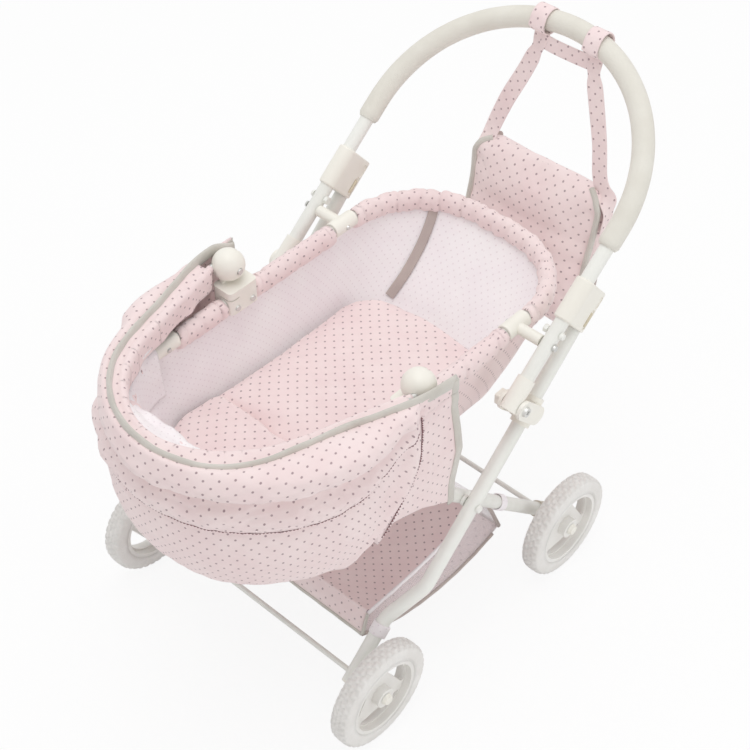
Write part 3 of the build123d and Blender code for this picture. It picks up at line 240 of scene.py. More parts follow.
def bake(obj):
    """Applies the modifiers of obj to its mesh."""
    dg = bpy.context.evaluated_depsgraph_get()
    dg.update()
    mesh = bpy.data.meshes.new_from_object(obj.evaluated_get(dg), preserve_all_data_layers=True, depsgraph=dg)
    obj.modifiers.clear()
    old = obj.data
    obj.data = mesh
    bpy.data.meshes.remove(old)
    return obj


def coords(mesh):
    """Points of the mesh, in metres."""
    co = np.zeros(len(mesh.vertices) * 3)
    mesh.vertices.foreach_get("co", co)
    return co.reshape(-1, 3)


PUFF_FRAMES = 20


def inflate(obj, voxel, pressure, cap):
    """Remeshes obj and puffs it up as filled cloth; no point moves further than cap (mm)."""
    modifier(obj, "REMESH", mode="VOXEL", voxel_size=voxel * MM, use_smooth_shade=True)
    bake(obj)
    start = coords(obj.data)
    m = obj.modifiers.new("Cloth", "CLOTH")
    st = m.settings
    st.quality = 6
    st.mass = 0.25
    st.tension_stiffness = st.compression_stiffness = 18
    st.shear_stiffness = 6
    st.bending_stiffness = 0.4
    st.use_pressure = True
    st.uniform_pressure_force = pressure
    st.effector_weights.gravity = 0
    m.collision_settings.use_collision = False
    for f in range(1, PUFF_FRAMES + 1):
        scene.frame_set(f)
    dg = bpy.context.evaluated_depsgraph_get()
    done = coords(obj.evaluated_get(dg).data)
    obj.modifiers.clear()
    scene.frame_set(1)
    move = done - start
    size = np.linalg.norm(move, axis=1)
    move *= (np.minimum(size, cap * MM) / np.maximum(size, 1e-9))[:, None]
    obj.data.vertices.foreach_set("co", (start + move).ravel())
    obj.data.update()
    return obj


def flat_uv(obj, u, v):
    """Cloth coordinates by projection on the two directions u and v."""
    co = coords(obj.data)
    layer = obj.data.uv_layers.get("cloth") or obj.data.uv_layers.new(name="cloth")
    idx = np.zeros(len(obj.data.loops), int)
    obj.data.loops.foreach_get("vertex_index", idx)
    uv = np.stack([co @ np.asarray(u, float), co @ np.asarray(v, float)], 1)[idx]
    layer.data.foreach_set("uv", uv.astype(np.float32).ravel())


def hung_sheet(name, rows, uv, mat, thick):
    """A hung sheet, thickened both ways."""
    obj = grid(name, rows, uv, mat)
    modifier(obj, "SOLIDIFY", thickness=thick * MM, offset=0)
    return obj


def dress(obj, body, node=None):
    """Fixes obj to a body, and lets it stand for a node of the solids."""
    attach(obj, body)
    if node:
        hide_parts(node)


# Materials
def srgb(r, g, b):
    def lin(c):
        c /= 255
        return c / 12.92 if c <= 0.04045 else ((c + 0.055) / 1.055) ** 2.4
    return (lin(r), lin(g), lin(b), 1.0)


def add_node(tree, kind, ins=None, **props):
    """A new node; ins gives a value or a socket to link for each input."""
    n = tree.nodes.new("ShaderNode" + kind)
    for k, v in props.items():
        setattr(n, k, v)
    for k, v in (ins or {}).items():
        if isinstance(v, bpy.types.NodeSocket):
            tree.links.new(v, n.inputs[k])
        else:
            n.inputs[k].default_value = v
    return n


class Look:
    """A node material under construction."""

    def __init__(self, name, **shader):
        self.mat = bpy.data.materials.new(name)
        self.mat.use_nodes = True
        self.tree = self.mat.node_tree
        self.bsdf = self.tree.nodes["Principled BSDF"]
        for k, v in shader.items():
            self.bsdf.inputs[k.replace("_", " ")].default_value = v

    def add(self, kind, ins=None, **props):
        return add_node(self.tree, kind, ins, **props)

    def calc(self, op, a, b=0.0):
        return self.add("Math", {0: a, 1: b}, operation=op).outputs[0]

    def into(self, socket, value):
        self.tree.links.new(value, self.bsdf.inputs[socket])

    def point(self):
        return self.add("TexCoord").outputs["Object"]

    def cloth_uv(self):
        return self.add("UVMap", uv_map="cloth").outputs["UV"]

    def noise(self, vec, scale, detail=4.0):
        return self.add("TexNoise", {"Vector": vec, "Scale": scale, "Detail": detail,
                                     "Roughness": 0.55}).outputs["Fac"]

    def spread(self, value, lo, hi, out_lo, out_hi):
        return self.add("MapRange", {"Value": value, "From Min": lo, "From Max": hi,
                                     "To Min": out_lo, "To Max": out_hi}).outputs["Result"]

    def mix(self, fac, a, b):
        return self.add("Mix", {0: fac, 6: a, 7: b}, data_type="RGBA").outputs[2]

    def bump(self, height, strength, distance, after=None):
        ins = {"Height": height, "Strength": strength, "Distance": distance}
        if after is not None:
            ins["Normal"] = after
        return self.add("Bump", ins).outputs["Normal"]


def woven(look, uv, pitch):
    """Height of a plain weave, 0 to 1."""
    sep = look.add("SeparateXYZ", {0: uv})
    k = 2 * math.pi / pitch
    su = look.calc("SINE", look.calc("MULTIPLY", sep.outputs[0], k))
    sv = look.calc("SINE", look.calc("MULTIPLY", sep.outputs[1], k))
    return look.calc("ADD", look.calc("MULTIPLY", look.calc("MULTIPLY", su, sv), 0.5), 0.5)


def dotted(look, uv, pitch, radius):
    """1 inside the printed dots, rows staggered by half a pitch."""
    sep = look.add("SeparateXYZ", {0: uv})
    best = None
    for off in (0.0, 0.5):
        sq = []
        for k in (0, 1):
            cell = look.calc("FRACT", look.calc("ADD", look.calc("DIVIDE", sep.outputs[k], pitch), off + 8.0))
            d = look.calc("MULTIPLY", look.calc("SUBTRACT", cell, 0.5), pitch)
            sq.append(look.calc("MULTIPLY", d, d))
        dist = look.calc("SQRT", look.calc("ADD", sq[0], sq[1]))
        best = dist if best is None else look.calc("MINIMUM", best, dist)
    return look.spread(best, radius * 1.3, radius * 0.75, 0.0, 1.0)


def cloth_look(name, base, shade, dot=None, dot_mm=1.15, dot_strength=0.8, pitch=14.4, rough=0.88,
               sheen=0.25, weave=0.75):
    """Woven cloth with uneven colour, and printed dots where dot gives their colour."""
    look = Look(name, Roughness=rough, Sheen_Weight=sheen, Sheen_Roughness=0.5, Specular_IOR_Level=0.2)
    uv, obj = look.cloth_uv(), look.point()
    cloud = look.noise(obj, 22.0, 5.0)
    colour = look.mix(look.spread(cloud, 0.35, 0.7, 0.0, 1.0), base, shade)
    thread = woven(look, uv, weave * MM)
    slub = look.noise(uv, 900.0, 2.0)
    colour = look.mix(look.spread(slub, 0.3, 0.75, 0.0, 0.07), colour, srgb(255, 250, 250))
    if dot is not None:
        mask = dotted(look, uv, pitch * MM, dot_mm * MM)
        ink = look.spread(look.noise(uv, 420.0, 2.0), 0.25, 0.75, dot_strength * 0.75, dot_strength)
        colour = look.mix(look.calc("MULTIPLY", mask, ink), colour, dot)
    look.into("Base Color", colour)
    n = look.bump(look.noise(obj, 60.0, 3.0), 0.09, 0.006)
    look.into("Normal", look.bump(thread, 0.22, 0.0004, n))
    return look.mat


def hard_look(name, base, shade, rough, coat, grain, grain_strength, metal=0.0, wear=None):
    """Paint, plastic or metal with fine grain, and rubbed edges where wear gives their colour."""
    look = Look(name, Specular_IOR_Level=0.5, Metallic=metal, Coat_Weight=coat, Coat_Roughness=0.2)
    p = look.point()
    colour = look.mix(look.spread(look.noise(p, 14.0, 5.0), 0.35, 0.7, 0.0, 1.0), base, shade)
    if wear is not None:
        edge = look.add("NewGeometry").outputs["Pointiness"]
        rub = look.calc("MULTIPLY", look.spread(edge, 0.53, 0.62, 0.0, 0.5), look.noise(p, 90.0, 4.0))
        colour = look.mix(rub, colour, wear)
    look.into("Base Color", colour)
    fine = look.noise(p, grain, 3.0)
    look.into("Roughness", look.spread(fine, 0.3, 0.7, rough - 0.06, rough + 0.07))
    look.into("Normal", look.bump(fine, grain_strength, 0.0006))
    return look.mat


pink = cloth_look("pink_dotted_cotton", srgb(247, 229, 228), srgb(242, 220, 220), srgb(132, 104, 112))
lining = cloth_look("white_lining", srgb(253, 249, 250), srgb(249, 242, 245), srgb(205, 186, 193), 0.8, 0.4,
                    pitch=9.8)
satin = cloth_look("satin_binding", srgb(214, 210, 202), srgb(198, 193, 184), rough=0.5, sheen=0.4, weave=0.5)
taupe = cloth_look("taupe_binding", srgb(190, 176, 170), srgb(176, 160, 156), rough=0.6, sheen=0.3, weave=0.6)
paint = hard_look("ivory_powder_coat", srgb(245, 245, 240), srgb(239, 239, 233), 0.34, 0.25, 700.0, 0.04,
                  wear=srgb(214, 212, 204))
plastic = hard_look("ivory_moulding", srgb(245, 242, 233), srgb(240, 236, 226), 0.42, 0.05, 420.0, 0.06,
                    wear=srgb(246, 245, 240))
cap_plastic = hard_look("beige_cap", srgb(212, 205, 192), srgb(202, 194, 180), 0.5, 0.0, 420.0, 0.08)
# Catch colour, darker and warmer than the moulding: painted shade of the collar slots
slot_shade_catch_look = hard_look("catch_painted_slot_shade", srgb(222, 212, 188), srgb(208, 197, 172), 0.5, 0.0, 420.0, 0.08)
hub_look = hard_look("wheel_moulding", srgb(240, 238, 234), srgb(232, 229, 224), 0.4, 0.1, 380.0, 0.06,
                     wear=srgb(247, 246, 243))
steel = hard_look("plated_steel", srgb(222, 222, 219), srgb(203, 203, 199), 0.35, 0.0, 500.0, 0.05, metal=0.7)
board_look = hard_look("hardboard", srgb(176, 150, 118), srgb(160, 134, 104), 0.7, 0.0, 300.0, 0.2)


def foam_look(name, base, shade, speck, cell, strength):
    """Foam with flecks and open cells."""
    look = Look(name, Roughness=0.82, Sheen_Weight=0.15, Specular_IOR_Level=0.25)
    p = look.point()
    colour = look.mix(look.spread(look.noise(p, 30.0, 6.0), 0.3, 0.7, 0.0, 1.0), base, shade)
    fleck = look.add("TexVoronoi", {"Vector": p, "Scale": cell}, feature="F1").outputs["Distance"]
    colour = look.mix(look.spread(fleck, 0.0, 0.25, 0.22, 0.0), colour, speck)
    look.into("Base Color", colour)
    n = look.bump(fleck, strength, 0.0007)
    look.into("Normal", look.bump(look.noise(p, 240.0, 4.0), strength * 0.8, 0.0006, n))
    return look.mat


grip_foam = foam_look("grip_foam", srgb(232, 229, 220), srgb(225, 221, 211), srgb(205, 200, 190), 900.0, 0.25)
tyre_foam = foam_look("tyre_foam", srgb(241, 239, 236), srgb(230, 227, 223), srgb(206, 202, 198), 340.0, 0.5)


NET_PITCH = 2.2


def net_look():
    look = Look("fine_net", Roughness=0.7, Sheen_Weight=0.2)
    uv = look.cloth_uv()
    sep = look.add("SeparateXYZ", {0: uv})
    lines = None
    for k in (0, 1):
        cell = look.calc("FRACT", look.calc("ADD", look.calc("DIVIDE", sep.outputs[k], NET_PITCH * MM), 50.0))
        edge = look.spread(look.calc("ABSOLUTE", look.calc("SUBTRACT", cell, 0.5)), 0.41, 0.47, 0.0, 1.0)
        lines = edge if lines is None else look.calc("MAXIMUM", lines, edge)
    look.into("Base Color", look.mix(look.noise(uv, 700.0, 2.0), srgb(250, 245, 246), srgb(238, 230, 233)))
    look.into("Alpha", look.spread(lines, 0.0, 1.0, 0.1, 1.0))
    look.into("Normal", look.bump(lines, 0.4, 0.0006))
    return look.mat


# Dark seam thread; the nearly joined stitch rows drawn with it are thread and also painted shade of the creases
# along the hood seams
def seam_thread_and_shade_look():
    look = Look("seam_thread_and_crease_shade", Roughness=0.7, Sheen_Weight=0.3)
    p = look.point()
    look.into("Base Color", look.mix(look.noise(p, 800.0, 2.0), srgb(112, 70, 78), srgb(140, 96, 102)))
    look.into("Normal", look.bump(look.noise(p, 2400.0, 1.0), 0.3, 0.0003))
    return look.mat


net = net_look()
seam_thread_and_crease_shade = seam_thread_and_shade_look()


def stitches(name, line, out, length, gap, wide):
    """A row of short raised dark threads along line, nearly joined where the gap is small, so the row also paints
    the shade of the crease along a seam; out gives the surface direction at each point.
    """
    pts, out = np.asarray(line, float), np.asarray(out, float)
    s = run_of(pts)
    verts, faces = [], []
    x = 0.0
    while x + length < s[-1]:
        ends = [np.array([np.interp(x + d, s, pts[:, k]) for k in range(3)]) for d in (0, length / 2, length)]
        up = np.array([np.interp(x + length / 2, s, out[:, k]) for k in range(3)])
        up /= np.linalg.norm(up)
        t = ends[2] - ends[0]
        t /= np.linalg.norm(t)
        w = np.cross(t, up)
        base = len(verts)
        for p, lift, half in zip(ends, (-0.15, wide, -0.15), (0.25, 1.0, 0.25)):
            for g in range(6):
                a = math.pi / 3 * g
                verts.append(p + up * (lift + 0.3 + wide * half * math.sin(a)) + w * wide * half * math.cos(a))
        for r in (base, base + 6):
            faces += [[r + g, r + (g + 1) % 6, r + 6 + (g + 1) % 6, r + 6 + g] for g in range(6)]
        faces.append([base + 5 - g for g in range(6)])
        faces.append([base + 12 + g for g in range(6)])
        x += length + gap
    return make(name, verts, faces, seam_thread_and_crease_shade)


# Looks of the solids that stay
LOOKS = {"frame_paint": paint, "plastic": plastic, "cap_plastic": cap_plastic, "wheel_plastic": hub_look,
         "steel": steel, "board": board_look, "tyre": tyre_foam, "foam": grip_foam, "cloth": pink,
         "lining": lining, "trim": satin, "net": net}
for sub in frame["record"]["subparts"]:
    obj = frame["nodes"][sub["node"]]
    obj.data.materials.clear()
    painted = sub["node"] in ("cross_rivets", "front_axle", "rear_axle", "stop_bolts")
    obj.data.materials.append(paint if painted else LOOKS[sub["material_slot"]])


# Handle grip
def on_handle(s, x=0.0, front=0.0):
    """Point at distance s up the handle, x across and front ahead of its plane."""
    return np.array([x, HANDLE_FOOT[0] + s * U_H[0] - front * U_H[1],
                     HANDLE_FOOT[1] + s * U_H[1] + front * U_H[0]])


arch = [on_handle(GRIP_S, FRAME_X), on_handle(ARCH_S - 6, FRAME_X)]
arch += [on_handle(ARCH_S + FRAME_X * math.sin(a), FRAME_X * math.cos(a)) for a in np.linspace(0, math.pi, 90)]
arch += [on_handle(ARCH_S - 6, -FRAME_X), on_handle(GRIP_S, -FRAME_X)]
arch_line = even(arch, 4.0)


def grip_r(s, g):
    total = arch_line[1][-1]
    end = min(s, total - s)
    r = GRIP_R - 2.2 * max(0.0, 1 - end / 4.5) ** 2
    r += 0.12 * wave(s / 19, math.cos(g), math.sin(g))
    return (r, r)


grip = tube("grip_foam_sleeve", arch_line, grip_r, grip_foam, 28)
dress(grip, "handle", "handle_grip")


# Spring catches in the side slots of the lock collars, coloured darker than the collars as painted shade in the
# slots
LOCK_S, LOCK_HALF, CATCH_R = 100.0, 11.0, 2.3
CATCH_SPAN, CATCH_BACK, CATCH_IN = (6.5, 23.5), -30.0, 1.1


def round_ended(total, full):
    """Radius of a rod with round ends."""
    def radius(s, g):
        near = max(0.0, full - min(s, total - s))
        r = full * math.sqrt(max(0.01, 1 - (near / full) ** 2))
        return (r, r)
    return radius


for side, sx in SIDES:
    for face, where in ((1, "outside"), (-1, "inside")):
        x = sx * (FRAME_X + face * (LOCK_HALF - CATCH_IN))
        line = even([on_handle(LOCK_S + up, x, CATCH_BACK) for up in CATCH_SPAN], 0.5)
        catch = tube("lock_catch_%s_%s" % (side, where), line, round_ended(line[1][-1], CATCH_R), slot_shade_catch_look, 20)
        dress(catch, "lock_" + side)


# Rim sleeves, gathered cloth on the tube
def rim_line(start, far, corner):
    """Line of the rim from one side at start round its end at far to the other side."""
    side = math.copysign(1, far - start)
    pts = [(RIM_X, start), (RIM_X, far - side * corner)]
    for a in np.linspace(0, math.pi / 2, 24)[1:]:
        pts.append((RIM_X - corner + corner * math.cos(a), far - side * corner + side * corner * math.sin(a)))
    pts = pts + [(-x, y) for x, y in reversed(pts)]
    return even([(x, y, RIM_Z) for x, y in pts], 2.2)


SLEEVE_UP, SLEEVE_OUT, SLEEVE_END, SLEEVE_SAG = 12.6, 9.2, 7.4, 3.5


def gathered(name, line, seed, amount, creases, node):
    """A sleeve of cloth over the rim tube, hanging a little, with sharp creases where it bunches."""
    total = line[1][-1]
    sag = np.array([SLEEVE_SAG * blend01(min(s, total - s), 0.0, 8.0) for s in line[1]])
    line = (line[0] - np.outer(sag, [0, 0, 1]), line[1])
    cuts = []
    for k in range(creases):
        at = total * (k + 0.5 + 0.4 * wave(k * 1.7, seed, 0.1)) / creases
        cuts.append((at, 9.0 * wave(k * 2.3, seed, 4.0), 1.2 + wave(k * 3.1, seed, 7.0)))

    def r(s, g):
        end = max(0.0, 1 - min(s, total - s) / 12.0)
        fold = 0.0
        for k, (length, lean) in enumerate(((31.0, 0.8), (19.0, -0.7), (11.5, 0.4))):
            fold += (0.95, 0.85, 0.55)[k] * math.sin(2 * math.pi * s / length + lean * g + seed + k
                                                    + 3.6 * wave(s / 38.0, seed, k))
        pinch = wave(s / 7.0, math.cos(g) * 1.2, math.sin(g) * 1.2 + seed)
        crease = sum(deep * bell(s - at - lean * math.sin(g + at), 1.6)
                     for at, lean, deep in cuts)
        v = amount * (0.7 * fold + 0.8 * pinch) - 1.5 * crease + 0.8 * end
        full = blend01(min(s, total - s), 0.0, 5.0)
        return [SLEEVE_END + (half + v - SLEEVE_END) * full for half in (SLEEVE_UP, SLEEVE_OUT)]

    obj = tube(name, line, r, pink, 28, ends=False)
    modifier(obj, "SOLIDIFY", thickness=0.8 * MM, offset=-1)
    bake(obj)
    dress(obj, "bassinet", node)


gathered("sleeve_rear", rim_line(REAR_TEE_Y + HALF_TEE, RIM_Y[1], RIM_CORNERS[1]), 0.3, 0.8, 15,
         "rim_sleeve_rear")
gathered("sleeve_front", rim_line(FRONT_TEE_Y - HALF_TEE, RIM_Y[0], RIM_CORNERS[0]), 2.1, 0.7, 8,
         "rim_sleeve_front")
spans = ((FRONT_TEE_Y + HALF_TEE, CLAMP_Y - CLAMP_HALF - 0.5),
         (CLAMP_Y + CLAMP_HALF + 0.5, REAR_TEE_Y - HALF_TEE))
for side, sx in SIDES:
    for k, span in enumerate(spans):
        line = even([(sx * RIM_X, y, RIM_Z) for y in span], 2.2)
        gathered("sleeve_%s_%d" % (side, k), line, sx + 3.0 * k, 0.4, 3, "rim_sleeve_sides")


# Tub: cotton outside, white lining inside
def tub_box(f):
    """Half width, front end, rear end, front and rear corner of the tub at height share f."""
    low = (TUB_LOW_X, TUB_LOW_Y[0], TUB_LOW_Y[1], TUB_LOW_CORNER, TUB_LOW_CORNER)
    high = (RIM_X + 3, RIM_Y[0] - 3, RIM_Y[1] + 3, RIM_CORNERS[0] + 3, RIM_CORNERS[1] + 3)
    return [a + (b - a) * f for a, b in zip(low, high)]


def outline(f, inset):
    """Level outline of the tub at height share f, as even points round from the rear middle."""
    hx, y0, y1, cf, cr = [v + sign * inset for v, sign in zip(tub_box(f), (-1, 1, -1, -1, -1))]
    pts = [((hx - cr) * k / 10, y1) for k in range(10)]
    pts += [(hx - cr + cr * math.sin(a), y1 - cr + cr * math.cos(a))
            for a in np.linspace(0, math.pi / 2, 30)[:-1]]
    pts += [(hx, y1 - cr + (y0 + cf - y1 + cr) * k / 34) for k in range(34)]
    pts += [(hx - cf + cf * math.cos(a), y0 + cf - cf * math.sin(a))
            for a in np.linspace(0, math.pi / 2, 26)[:-1]]
    pts += [((hx - cf) * (1 - k / 14), y0) for k in range(15)]
    return np.array(pts + [(-x, y) for x, y in reversed(pts[1:-1])])


TUB_GIRTH, PRINT_STRETCH = 760.0, 1.55


def tub_sheet(name, inset, mat, top, bulge, seed, thick):
    """Walls and floor as one sheet: rings from the rim down, then in across the floor."""
    rows, uv = [], []
    depth = TUB_TOP - TUB_FLOOR
    levels = [(1.0, top[0], top[1]), (1.0, top[0] * 0.45, -10.0)]
    levels += [(1 - k / 22, 0.0, None) for k in range(1, 22)]
    run = 0.0
    last = None
    for f, push, dz in levels:
        o = outline(f, inset)
        z = RIM_Z + dz if dz is not None else TUB_FLOOR + depth * f + inset * (1 - f)
        t = np.roll(o, -1, 0) - np.roll(o, 1, 0)
        nrm = np.stack([-t[:, 1], t[:, 0]], 1)
        nrm /= np.linalg.norm(nrm, axis=1)[:, None]
        ring = []
        for (x, y), (nx, ny) in zip(o, nrm):
            belly = bulge * math.sin(math.pi * f) if dz is None else 0.0
            fold = fbm((x, y, z), 34.0, seed) * 1.5 + fbm((x, y, z), 13.0, seed + 3) * 0.5
            fold *= math.sin(math.pi * min(1.0, f * 1.1)) if dz is None else 0.2
            d = push + belly + fold
            low = 6.0 * max(0.0, 1 - f / 0.1) if dz is None else 0.0
            ring.append((x + nx * (d - low * 0.6), y + ny * (d - low * 0.6), z))
        ring = np.array(ring)
        if last is not None:
            run += np.linalg.norm(ring - last, axis=1).mean()
        last = ring
        seg = np.linalg.norm(np.roll(ring, -1, 0) - ring, axis=1)
        around = np.concatenate([[0], np.cumsum(seg)])
        rows.append(ring)
        uv.append([(a * TUB_GIRTH / around[-1] * PRINT_STRETCH, -run) for a in around])
    base = rows[-1]
    c = base.mean(0)
    for k in range(1, 9):
        ring = c + (base - c) * (1 - k / 8.4)
        ring[:, 2] = TUB_FLOOR + inset
        rows.append(ring)
        ring_uv = [(p[0], p[1]) for p in ring]
        uv.append(ring_uv + ring_uv[:1])
    obj = grid(name, rows, uv, mat, wrap_v=True)
    dress(obj, "bassinet", "bassinet_tub")
    modifier(obj, "SOLIDIFY", thickness=thick * MM, offset=-1)


tub_sheet("tub_outside", 0.0, pink, (4.5, -4.0), 2.6, 0.7, 1.0)
tub_sheet("tub_lining", 3.0, lining, (-5.0, -5.0), 1.6, 4.2, 0.8)


# Mattress and pillow, puffed as filled cloth
BED_X, BED_Y, BED_CORNER = 102.0, (-239.0, 104.0), 55.0
MAT_Z = 274.7
PILLOW_Y = -143.0
PAD_SPARE = 3.0


def pad(name, y0, y1, rise, crown):
    """Closed pad over part of the bed outline: crowned top, flat bottom, sides drawn in."""
    n, m = 44, 40
    top, low = [], []
    for i in range(n + 1):
        y = y0 + (y1 - y0) * i / n
        edge = BED_X + PAD_SPARE
        for end, sign in ((BED_Y[0], 1), (BED_Y[1], -1)):
            into = sign * (y - end)
            if into < BED_CORNER:
                reach = math.sqrt(max(0.0, BED_CORNER ** 2 - (BED_CORNER - into) ** 2))
                edge = min(edge, BED_X + PAD_SPARE - BED_CORNER + reach)
        edge = max(edge, 6.0)
        ends = min(1.0, (min(y - y0, y1 - y) + 1.0) / 16.0)
        row_t, row_l = [], []
        for j in range(m + 1):
            k = 2 * j / m - 1
            q = abs(k)
            side = math.sqrt(max(0.0, 1 - max(0.0, (q - 0.86) / 0.14) ** 2))
            full = side * math.sqrt(max(0.0, 1 - (1 - ends) ** 2))
            h = rise * (0.45 + 0.55 * full) + crown * (1 - k * k) * full
            row_t.append((k * edge, y, MAT_Z + h))
            row_l.append((k * (edge - 2), y, MAT_Z + 0.6 + 0.45 * rise * (1 - full)))
        top.append(row_t)
        low.append(row_l)
    verts = np.array(top + low).reshape(-1, 3)
    w = m + 1
    faces = []
    off = (n + 1) * w
    for i in range(n):
        for j in range(m):
            a = i * w + j
            faces.append([a, a + 1, a + w + 1, a + w])
            faces.append([off + a, off + a + w, off + a + w + 1, off + a + 1])
    rim = list(range(m)) + [i * w + m for i in range(n)] + [n * w + m - j for j in range(m)]
    rim += [(n - i) * w for i in range(n)]
    for a, b in zip(rim, rim[1:] + rim[:1]):
        faces.append([b, a, off + a, off + b])
    return make(name, verts, faces, pink)


def printed(obj, co, v):
    """Moves the points of a puffed piece to co (mm), smooths it and lays the print on it."""
    obj.data.vertices.foreach_set("co", (co * MM).ravel())
    obj.data.update()
    modifier(obj, "SUBSURF", levels=1, render_levels=1)
    bake(obj)
    flat_uv(obj, (1, 0, 0), v)
    smooth(obj.data)
    obj.data.materials.clear()
    obj.data.materials.append(pink)


def finish_pad(obj, seed, channels, amount):
    """Sewn channels and soft creases on a puffed pad, then its print."""
    co = coords(obj.data) / MM
    for p in co:
        up = max(0.0, min(1.0, (p[2] - MAT_Z - 6) / 6))
        dz = amount * (fbm(p, 42.0, seed) + 0.45 * fbm(p, 17.0, seed + 2))
        for y, deep in channels:
            dz -= deep * bell(p[1] - y, 3.6)
        p[2] += up * dz
    printed(obj, co, (0, 1, 0.35))


mat_pad = inflate(pad("mattress_pad", PILLOW_Y - 9, BED_Y[1] - 1, 14.0, 4.0), 5.0, 4.0, 5.0)
finish_pad(mat_pad, 1.3, ((PILLOW_Y + 96, 1.6),), 1.3)
dress(mat_pad, "bassinet", "mattress")
pillow = inflate(pad("pillow_pad", BED_Y[0] + 1, PILLOW_Y + 2, 22.0, 7.0), 5.0, 4.0, 6.0)
finish_pad(pillow, 5.1, (), 1.6)
dress(pillow, "bassinet", "pillow")


# Tape over the seam of the lining, up one rear corner
side, sx = SIDES[1]
turn = math.radians(32)
ends = []
for f, z in ((0.0, TUB_FLOOR + 3), (1.0, TUB_TOP)):
    hx, _, y1, _, c = tub_box(f)
    ends.append(np.array([sx * (hx - c + (c - 3) * math.sin(turn)), y1 - c + (c - 3) * math.cos(turn), z]))
inward = np.array([-sx * math.sin(turn) * 0.7, -math.cos(turn) * 0.7, 0.7])
along = np.array([sx * math.cos(turn), -math.sin(turn), 0])
TAPE = ((0.12, 0.8, 0.0), (0.35, 0.7, 5.0), (0.62, 0.7, 6.5), (0.85, 0.8, 4.0), (1.0, 0.8, 0.0))
line = smooth_line([ends[0] + (ends[1] - ends[0]) * f + inward * (0.9 + d) - along * bow
                    for f, d, bow in TAPE], 30)
tape = ribbon("seam_tape_" + side, even(line, 3.0), 11.0, along, 0.9, taupe)
dress(tape, "bassinet", "seam_tapes")


# Hood
def hood_plan(step):
    """Plan line of the hood from the near flap round the front to the far flap."""
    pts = [(HOOD_R, FLAP_Y), (HOOD_R, HOOD_Y)]
    pts += [(HOOD_R * math.cos(a), HOOD_Y - HOOD_R * math.sin(a)) for a in np.linspace(0, math.pi, 120)[1:-1]]
    pts += [(-HOOD_R, HOOD_Y), (-HOOD_R, FLAP_Y)]
    line, s = even(pts, step)
    return line, s - s[-1] / 2


plan, plan_s = hood_plan(3.0)
FRONT_ARC = math.pi * HOOD_R / 2
KNOB_S = FRONT_ARC + (CLAMP_Y - HOOD_Y)
KNOB_Z, TRIM_Z, TILT = 413.0, 420.0, math.radians(3.4)
EDGE_HALF = [(157.0, 28.0), (157.0, -4.0), (131.0, -99.5), (98.0, -186.5)]
EDGE_NOSE = (0.0, -242.5)
BOW_HALF = [(141.7, -19.0), (121.0, -96.2), (88.0, -181.5)]
BOW_NOSE = (0.0, -232.5)


def cubic(half, nose):
    """Even points on the natural cubic curve through half, nose and half mirrored."""
    p = np.array(half + [nose] + [(-x, y) for x, y in reversed(half)])
    t = run_of(p)
    h, k = np.diff(t), len(p)
    a, r = np.eye(k), np.zeros_like(p)
    for i in range(1, k - 1):
        a[i, i - 1:i + 2] = h[i - 1], 2 * (h[i - 1] + h[i]), h[i]
        r[i] = 6 * ((p[i + 1] - p[i]) / h[i] - (p[i] - p[i - 1]) / h[i - 1])
    m = np.linalg.solve(a, r)
    out = []
    for x in np.linspace(0, t[-1], 300):
        i = min(max(int(np.searchsorted(t, x)) - 1, 0), k - 2)
        u, v = t[i + 1] - x, x - t[i]
        out.append((m[i] * u ** 3 + m[i + 1] * v ** 3) / (6 * h[i]) + (p[i] / h[i] - m[i] * h[i] / 6) * u
                   + (p[i + 1] / h[i] - m[i + 1] * h[i] / 6) * v)
    return even(out, 2.0)


def tilted(pts, z):
    """Points of the folded hood's sloping edge plane, at height z over the knobs."""
    pts = np.asarray(pts, float)
    return np.stack([pts[:, 0], CLAMP_Y + pts[:, 1] * math.cos(TILT), z - pts[:, 1] * math.sin(TILT)], 1)


edge_flat, edge_s = cubic(EDGE_HALF, EDGE_NOSE)
edge_line = tilted(edge_flat, TRIM_Z)


# The near front corner sags and stands out, and the far end droops behind its knob
for p in edge_line:
    corner = bell(p[0] - 72, 62) * blend01(-p[1], 185, 285)
    droop = blend01(p[1], -82, -52) * (12.0 if p[0] < 0 else 3.0)
    p += corner * np.array([4.5, -4.5, -4.5]) - np.array([0, 0, droop])


def edge_at(share):
    return np.array([np.interp(share * edge_s[-1], edge_s, edge_line[:, k]) for k in range(3)])


# Height of the hem by y, push of the rear flap by height, and y of the side seam by height
LOW_EDGE = ((-330.0, 253.0), (-230.0, 251.0), (-192.0, 250.0), (-168.0, 265.0), (-143.0, 281.0),
            (-100.0, 266.0), (-51.5, 237.0))
FLAP_WAVE = ((230.0, -0.2), (268.0, -0.2), (292.0, 3.0), (325.0, 8.0), (350.0, 5.0), (377.0, 0.5),
             (420.0, 0.0))
SIDE_SEAM = ((246.0, -192.0), (265.0, -168.5), (288.0, -143.5), (318.0, -115.5), (341.0, -103.5),
             (381.0, -101.5), (420.0, -104.0))
CREASE_Z, SEAM_Z, ROLL_TOP, FLAP_TOP = 408.0, 352.0, 426.0, 402.0
HOOD_STEPS, ROLL_STEPS = 92, 8


def table_at(x, table):
    return float(np.interp(x, *zip(*table)))


